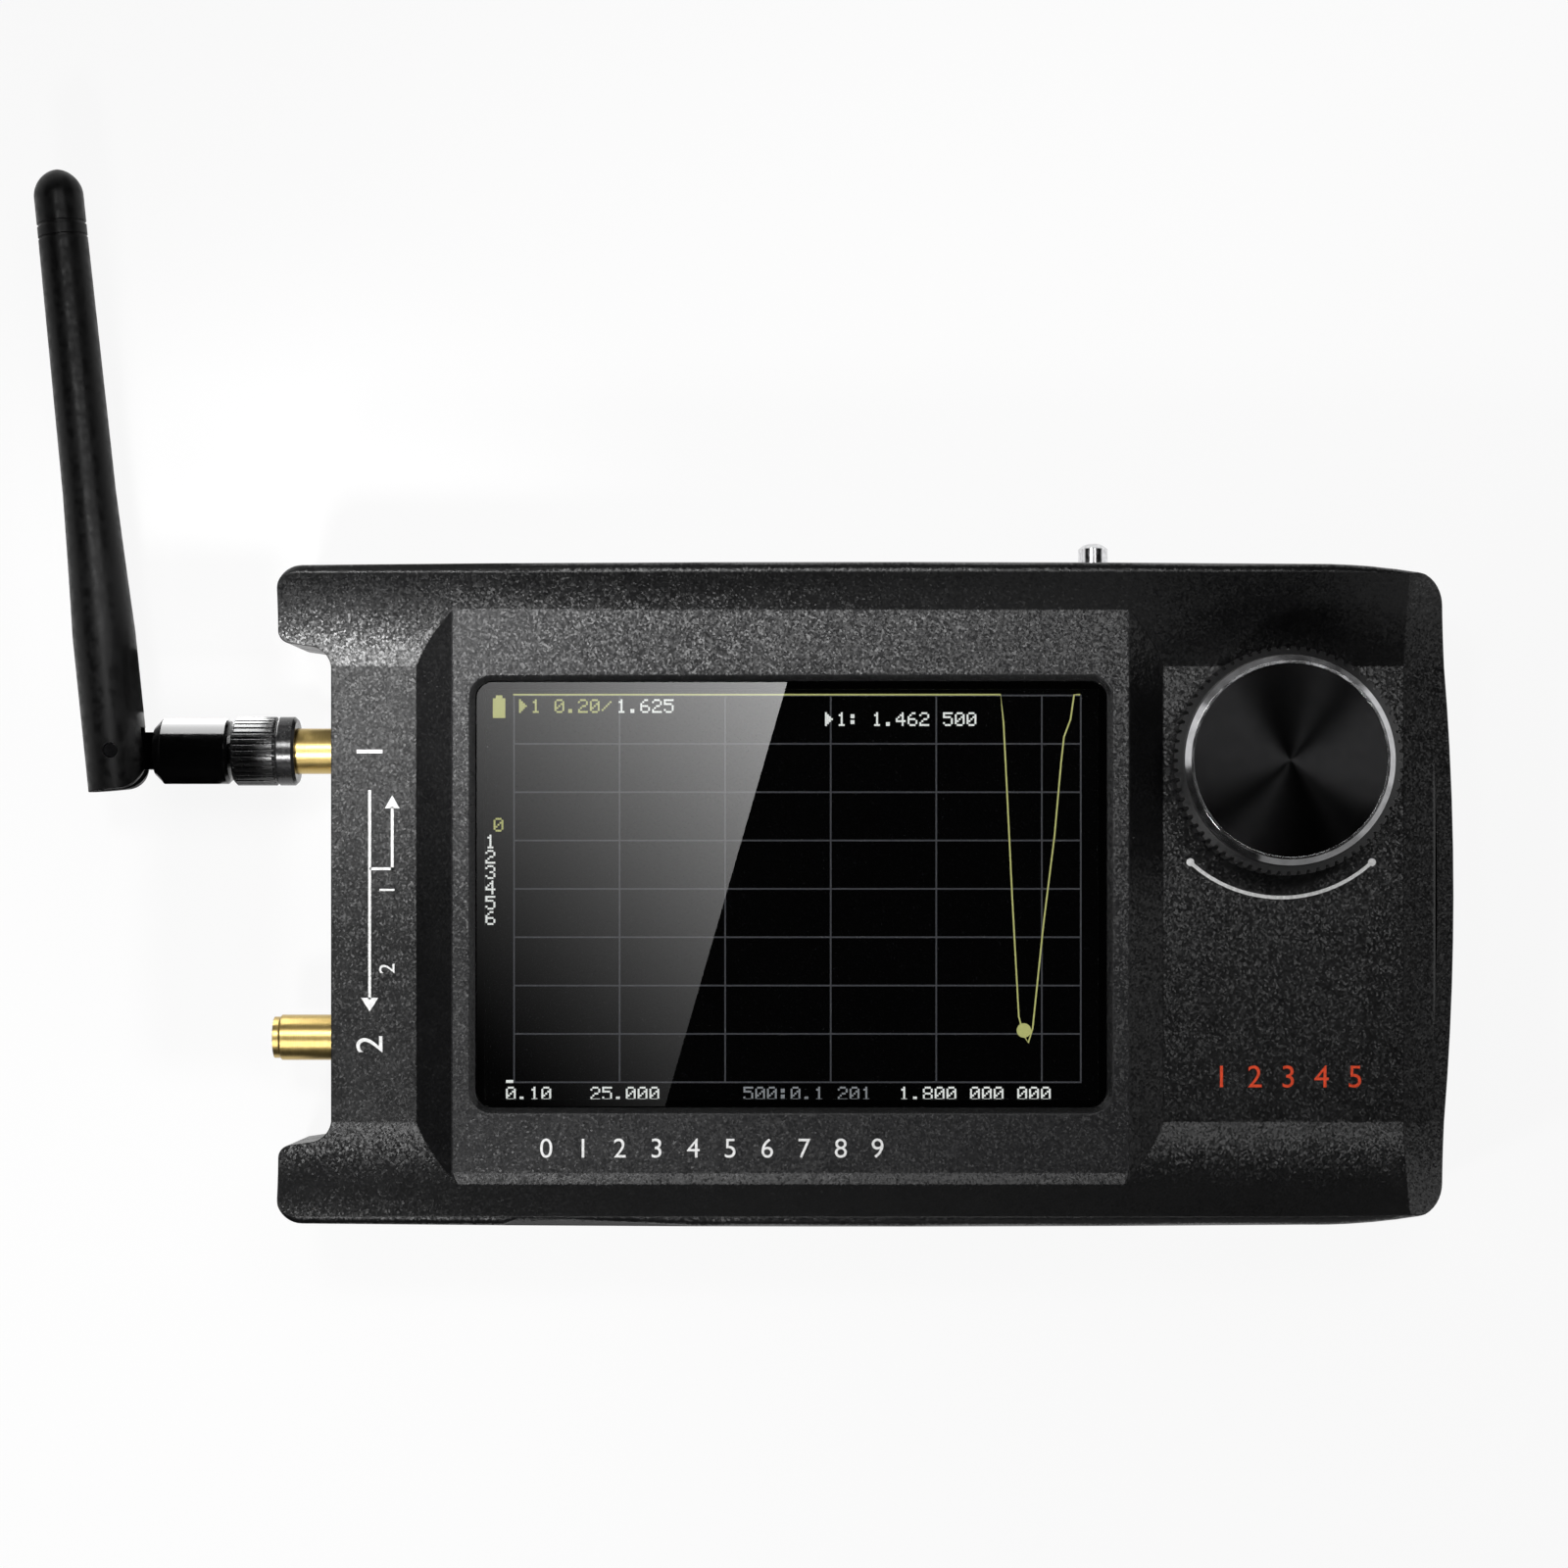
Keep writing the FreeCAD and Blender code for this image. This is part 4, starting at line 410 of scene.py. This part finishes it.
def stripe(maker, points, width, height):
    """A band of one width along an open line."""
    sides = ([], [])
    for i, point in enumerate(points):
        before = Vector(points[max(i - 1, 0)])
        after = Vector(points[min(i + 1, len(points) - 1)])
        along = (after - before).normalized()
        across = Vector((-along.y, along.x)) * width / 2
        sides[0].append(Vector(point) - across)
        sides[1].append(Vector(point) + across)
    for i in range(len(points) - 1):
        corners = [sides[0][i], sides[0][i + 1], sides[1][i + 1], sides[1][i]]
        slab(maker, [tuple(corner) for corner in corners], height, height + MARK_THICK)


def disc(maker, x, y, radius, height, count=20):
    turn = 2 * math.pi / count
    outline = [(x + radius * math.cos(i * turn), y + radius * math.sin(i * turn)) for i in range(count)]
    slab(maker, outline, height, height + MARK_THICK)


def dot_text(maker, text, x, y):
    """Numerals in lit dots, from their lower left corner."""
    for place, letter in enumerate(text):
        for row, line in enumerate(reversed(DIGITS[letter].split())):
            for column, lit in enumerate(line):
                if lit == "1":
                    left = x + (place * LETTER_DOTS + column) * DOT
                    low = y + row * DOT
                    bar(maker, left, low, left + DOT * DOT_LIT, low + DOT * DOT_LIT, PANEL_TOP + MARK_THICK)


def build_screen():
    """A swept trace with one sharp dip over a grid, and its readings as made-up numerals."""
    white = glowing("cells_white", (0.9, 0.93, 0.9), 1.0)
    grey = glowing("cells_grey", (0.8, 0.85, 0.9), 0.3)
    yellow = glowing("cells_yellow", (0.8, 0.82, 0.3), 0.6)
    line_color = glowing("cells_line", (0.85, 0.88, 1.0), 0.055)
    ground = PANEL_TOP + 0.01

    def grid(maker):
        x = GRID_LEFT
        while x < GRID_RIGHT:
            bar(maker, x, GRID_BOTTOM, x + GRID_LINE, GRID_TOP, ground)
            x += GRID_COLUMN
        bar(maker, GRID_RIGHT, GRID_BOTTOM, GRID_RIGHT + GRID_LINE, GRID_TOP, ground)
        for row in range(GRID_ROWS + 1):
            y = GRID_TOP + (GRID_BOTTOM - GRID_TOP) * row / GRID_ROWS
            bar(maker, GRID_LEFT, y - GRID_LINE, GRID_RIGHT + GRID_LINE, y, ground)

    def trace(maker):
        dip = [
            (GRID_LEFT, GRID_TOP), (18.7, GRID_TOP), (19.1, 23.6), (19.6, 13.8), (20.3, -0.5), (21.2, -16.8),
            (21.9, -19.4), (22.5, -20.4), (23.1, -18.4), (24.6, -4), (26.1, 8), (27, 18), (27.4, 21.6),
            (28.3, 24), (28.8, GRID_TOP), (GRID_RIGHT, GRID_TOP),
        ]
        stripe(maker, dip, TRACE_LINE, PANEL_TOP + 2 * MARK_THICK)
        disc(maker, 21.9, -18.7, 1.0, PANEL_TOP + 3 * MARK_THICK)
        dot_text(maker, ">1 0.20/", -47.4, 24.9)
        # Battery gauge
        bar(maker, -51, 24.2, -49.3, 26.9, PANEL_TOP + MARK_THICK)
        bar(maker, -50.6, 26.9, -49.7, 27.3, PANEL_TOP + MARK_THICK)
        dot_text(maker, "0", -50.9, 8.6)

    def readings(maker):
        dot_text(maker, "1.625", -34, 24.9)
        dot_text(maker, ">1: 1.462 500", -5.4, 23.1)
        for row, digit in enumerate("123456"):
            dot_text(maker, digit, -52, 6.3 - 2.1 * row)
        dot_text(maker, "0.10", -49.2, -28.3)
        dot_text(maker, "25.000", -37.6, -28.3)
        dot_text(maker, "1.800 000 000", 4.8, -28.3)
        disc(maker, 32.6, -28.4, 0.42, PANEL_TOP + MARK_THICK)
        bar(maker, -49.2, -25.9, -48.2, -25.5, PANEL_TOP + MARK_THICK)

    def dim_readings(maker):
        dot_text(maker, "500:0.1 201", -16.6, -28.3)

    new_piece("screen_grid", grid, line_color)
    new_piece("screen_trace", trace, yellow)
    new_piece("screen_readings", readings, white)
    new_piece("screen_dim_readings", dim_readings, grey)


def printed_text(name, text, place, size, turn, material, height):
    """Plain numerals printed on the case, centred on a place, with size as their height."""
    curve = bpy.data.curves.new(name, "FONT")
    curve.body = text
    curve.size = size / CAPITAL_SHARE * MM
    curve.extrude = MARK_THICK / 2 * MM
    curve.align_x = "CENTER"
    curve.align_y = "CENTER"
    letters = bpy.data.objects.new(name, curve)
    bpy.context.collection.objects.link(letters)
    letters.rotation_euler = (0, 0, math.radians(turn))
    letters.location = (place[0] * MM, place[1] * MM, height * MM)
    bpy.context.view_layer.update()
    mesh = bpy.data.meshes.new_from_object(letters.evaluated_get(bpy.context.evaluated_depsgraph_get()))
    mesh.transform(letters.matrix_world)
    bpy.data.objects.remove(letters)
    mesh.name = name
    keep_piece(name, mesh, material)


def build_prints():
    """Arrows between the ports, an arc under the dial, and plain numerals."""
    white = plain("print_white", (0.9, 0.9, 0.89), 0.5).material
    orange = plain("print_orange", (0.9, 0.07, 0.012), 0.5).material
    low = FLAT - 0.01
    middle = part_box("dial_face")
    dial = ((middle[0][0] + middle[1][0]) / 2 / MM, (middle[0][1] + middle[1][1]) / 2 / MM)

    def arrows(maker):
        stripe(maker, [(-67.9, 14.3), (-67.9, -14.4)], PRINT_LINE, low)
        slab(maker, [(-69.1, -14.2), (-67.9, -16.1), (-66.7, -14.2)], low, low + MARK_THICK)
        stripe(maker, [(-67.9, 3.5), (-64.6, 3.5)], PRINT_LINE, low)
        stripe(maker, [(-64.8, 3.3), (-64.8, 12)], PRINT_LINE, low)
        slab(maker, [(-65.8, 11.8), (-63.8, 11.8), (-64.8, 13.6)], low, low + MARK_THICK)

    def arc(maker):
        points = []
        for i in range(ARC_STEPS + 1):
            angle = -math.pi / 2 + math.radians(ARC_HALF_ANGLE) * (2 * i / ARC_STEPS - 1)
            points.append((dial[0] + ARC_RADIUS * math.cos(angle), dial[1] + ARC_RADIUS * math.sin(angle)))
        stripe(maker, points, ARC_LINE, low)
        for x, y in (points[0], points[-1]):
            disc(maker, x, y, 0.55, low + MARK_THICK / 2)

    new_piece("port_arrows", arrows, white)
    new_piece("dial_arc", arc, white)
    printed_text("port_1_numeral", "1", (-67.7, 19.6), 3.6, 90, white, FLAT)
    printed_text("port_2_numeral", "2", (-67.7, -20.6), 3.6, 90, white, FLAT)
    printed_text("arrow_1_numeral", "1", (-65.4, 0.6), 2.1, 90, white, FLAT)
    printed_text("arrow_2_numeral", "2", (-65.4, -10.2), 2.1, 90, white, FLAT)
    printed_text("bezel_numerals", "   ".join("0123456789"), (-20.8, -34.8), 2.6, 0, white, BEZEL)
    printed_text("dial_numerals", "1  2  3  4  5", (58.2, -25.2), 3, 0, orange, FLAT)


def world_light():
    """White towards the horizon and dark overhead; weaker as a light than as a backdrop."""
    world = bpy.data.worlds.new("studio")
    bpy.context.scene.world = world
    world.use_nodes = True
    tree = world.node_tree
    tree.nodes.clear()

    def height_ramp(start, end, low, high):
        node = tree.nodes.new("ShaderNodeMapRange")
        node.interpolation_type = "SMOOTHSTEP"
        for socket, number in zip(("From Min", "From Max", "To Min", "To Max"), (start, end, low, high)):
            node.inputs[socket].default_value = number
        tree.links.new(split.outputs["Z"], node.inputs["Value"])
        background = tree.nodes.new("ShaderNodeBackground")
        background.inputs["Color"].default_value = (1, 1, 1, 1)
        tree.links.new(node.outputs["Result"], background.inputs["Strength"])
        return background

    output = tree.nodes.new("ShaderNodeOutputWorld")
    coordinates = tree.nodes.new("ShaderNodeTexCoord")
    split = tree.nodes.new("ShaderNodeSeparateXYZ")
    tree.links.new(coordinates.outputs["Generated"], split.inputs[0])
    backdrop = height_ramp(0.22, 0.5, HORIZON_WHITE, ZENITH_WHITE)
    room = height_ramp(0.1, 0.9, HORIZON_FILL, ZENITH_FILL)
    mix = tree.nodes.new("ShaderNodeMixShader")
    tree.links.new(seen_directly(tree), mix.inputs["Fac"])
    tree.links.new(room.outputs[0], mix.inputs[1])
    tree.links.new(backdrop.outputs[0], mix.inputs[2])
    tree.links.new(mix.outputs[0], output.inputs["Surface"])


def seen_directly(tree):
    """One for camera, mirror and glass rays, and nought for rays that carry light."""
    path = tree.nodes.new("ShaderNodeLightPath")
    total = path.outputs["Is Camera Ray"]
    for kind in ("Is Glossy Ray", "Is Transmission Ray"):
        either = tree.nodes.new("ShaderNodeMath")
        either.operation = "MAXIMUM"
        tree.links.new(total, either.inputs[0])
        tree.links.new(path.outputs[kind], either.inputs[1])
        total = either.outputs[0]
    return total


def hang_lamp(data, place, target):
    """Hangs a lamp at a place, aimed at a target and unseen by the camera."""
    lamp = bpy.data.objects.new(data.name, data)
    lamp.location = place
    lamp.rotation_euler = (Vector(target) - Vector(place)).to_track_quat("-Z", "Y").to_euler()
    lamp.visible_camera = False
    bpy.context.collection.objects.link(lamp)
    return lamp


def area_light(name, place, target, size, power):
    data = bpy.data.lights.new(name, "AREA")
    data.shape = "RECTANGLE"
    data.size, data.size_y = size
    data.energy = power
    hang_lamp(data, place, target)


def spot_light(name, place, target, cone, spread, radius, power):
    """A soft-edged spot whose cone, in degrees, is spread times wider along the case."""
    data = bpy.data.lights.new(name, "SPOT")
    data.spot_size = math.radians(cone)
    data.spot_blend = 1
    data.shadow_soft_size = radius
    data.energy = power
    hang_lamp(data, place, target).scale = (spread, 1, 1)


def light_studio():
    """Two soft-edged spots and three panels, in metres."""
    spot_light("overhead", (-0.12, 0.17, 0.44), (-0.03, 0.052, 0.022),
               cone=23, spread=2.4, radius=0.05, power=3.8)
    area_light("overhead_far", (0.1, 0.17, 0.5), (0.02, 0.03, 0.02), size=(0.2, 0.1), power=0.38)
    area_light("rail_front", (-0.12, -0.14, 0.2), (-0.07, 0.04, 0.024), size=(0.04, 0.04), power=0.28)
    spot_light("rail_corner", (-0.1, -0.05, 0.21), (-0.08, 0.037, 0.022),
               cone=15, spread=1.6, radius=0.02, power=2.4)
    area_light("rail_strip", (0.1, -0.27, 0.27), (0.04, 0.04, 0.024), size=(0.4, 0.1), power=0.05)


def mirror_card(name, points, strength, shades=False):
    """Four-cornered cards that only mirror rays meet; those that shade also stop lamps."""
    mesh = bpy.data.meshes.new(name)
    mesh.from_pydata(points, [], [range(first, first + 4) for first in range(0, len(points), 4)])
    material = bpy.data.materials.new(name)
    material.use_nodes = True
    tree = material.node_tree
    tree.nodes.clear()
    glow = tree.nodes.new("ShaderNodeEmission")
    glow.inputs["Strength"].default_value = strength
    output = tree.nodes.new("ShaderNodeOutputMaterial")
    tree.links.new(glow.outputs[0], output.inputs["Surface"])
    mesh.materials.append(material)
    card = bpy.data.objects.new(name, mesh)
    bpy.context.collection.objects.link(card)
    card.visible_camera = False
    card.visible_diffuse = False
    card.visible_shadow = shades
    card.visible_transmission = False
    return tree, glow


def build_sky_card():
    """An overhead softbox that the glass mirrors, with a slanting right edge."""
    spread = SKY_CARD_SPREAD * MM
    corners = [(x * spread, y * spread, SKY_CARD_HEIGHT) for x, y in SKY_CARD_OUTLINE]
    tree, glow = mirror_card("sky_card", corners, SKY_CARD_GLOW)
    coordinates = tree.nodes.new("ShaderNodeTexCoord")
    slope = tree.nodes.new("ShaderNodeVectorMath")
    slope.operation = "DOT_PRODUCT"
    slope.inputs[1].default_value = SKY_CARD_SLOPE
    tree.links.new(coordinates.outputs["Object"], slope.inputs[0])
    shade = slope.outputs["Value"]
    for operation, number in (("ADD", SKY_CARD_START), ("MAXIMUM", SKY_CARD_LEAST), ("POWER", SKY_CARD_POWER),
                              ("MULTIPLY", SKY_CARD_GLOW)):
        step = tree.nodes.new("ShaderNodeMath")
        step.operation = operation
        step.inputs[1].default_value = number
        tree.links.new(shade, step.inputs[0])
        shade = step.outputs[0]
    tree.links.new(shade, glow.inputs["Strength"])


def level_card(left, right, near, far, height):
    """Corners of a level card, from millimetres."""
    corners = ((left, near), (right, near), (right, far), (left, far))
    return [(x * MM, y * MM, height * MM) for x, y in corners]


def upright_card(first, last, low, high):
    """Corners of an upright card over the line between two points, from millimetres."""
    corners = ((*first, low), (*last, low), (*last, high), (*first, high))
    return [(x * MM, y * MM, z * MM) for x, y, z in corners]


def build_reflectors():
    """Cards round the dial that shade its rim, bright ones behind the elbow, and dark ones beside them, in
    front of the elbow and over it."""
    for name, *ends, strength in DIAL_CARDS:
        feet = []
        for degrees in ends:
            around = math.radians(degrees)
            feet.append((DIAL_CENTRE[0] + DIAL_CARD_REACH * math.cos(around),
                         DIAL_CENTRE[1] + DIAL_CARD_REACH * math.sin(around)))
        mirror_card(name, upright_card(*feet, 0, DIAL_CARD_HEIGHT), strength)

    left, right, near, middle, far, high = -100.6, -85.5, 25.5, 29, 34.5, 21.5
    mirror_card("elbow_card_low", level_card(left, right, near, middle, CARD_LIFT), strength=2)
    mirror_card("elbow_card_middle", level_card(left, right, middle, far, CARD_LIFT), strength=6)
    mirror_card("elbow_card_high", upright_card((left, far), (right, far), CARD_LIFT, high), strength=18)
    back, side = far + CARD_GAP, left - CARD_GAP
    mirror_card("elbow_card_back", upright_card((left, back), (right, back), CARD_LIFT, high)
                + upright_card((side, near), (side, back), CARD_LIFT, high), strength=0)

    left, right, near, far, high = -170, -92, 13, -250, 160
    mirror_card("elbow_dark_card", level_card(left, right, near, far, CARD_LIFT)
                + upright_card((left, far), (right, far), CARD_LIFT, high), strength=0)
    mirror_card("elbow_flag", level_card(-104, -85, -12, 36, 30), strength=0, shades=True)


def build_floor():
    """A pale floor that shows white and keeps a faint shadow."""
    mesh = bpy.data.meshes.new("floor")
    corners = [(x * FLOOR_REACH, y * FLOOR_REACH, 0) for x, y in ((-1, -1), (1, -1), (1, 1), (-1, 1))]
    mesh.from_pydata(corners, [], [(0, 1, 2, 3)])
    floor = bpy.data.objects.new("floor", mesh)
    bpy.context.collection.objects.link(floor)
    material = bpy.data.materials.new("floor_white")
    material.use_nodes = True
    tree = material.node_tree
    bsdf = tree.nodes["Principled BSDF"]
    bsdf.inputs["Base Color"].default_value = (0.86, 0.86, 0.86, 1)
    bsdf.inputs["Roughness"].default_value = 0.9
    glow = tree.nodes.new("ShaderNodeEmission")
    mix = tree.nodes.new("ShaderNodeMixShader")
    share = tree.nodes.new("ShaderNodeMath")
    share.operation = "MULTIPLY"
    share.inputs[1].default_value = FLOOR_GLOW_SHARE
    tree.links.new(seen_directly(tree), share.inputs[0])
    tree.links.new(share.outputs[0], mix.inputs["Fac"])
    tree.links.new(bsdf.outputs[0], mix.inputs[1])
    tree.links.new(glow.outputs[0], mix.inputs[2])
    tree.links.new(mix.outputs[0], tree.nodes["Material Output"].inputs["Surface"])
    mesh.materials.append(material)


place_camera()
finish_case()
finish_display()
finish_dial()
finish_buttons()
finish_antenna()
finish_gold()
build_screen()
build_prints()
world_light()
light_studio()
build_sky_card()
build_reflectors()
build_floor()
bpy.context.scene.view_settings.view_transform = "Standard"
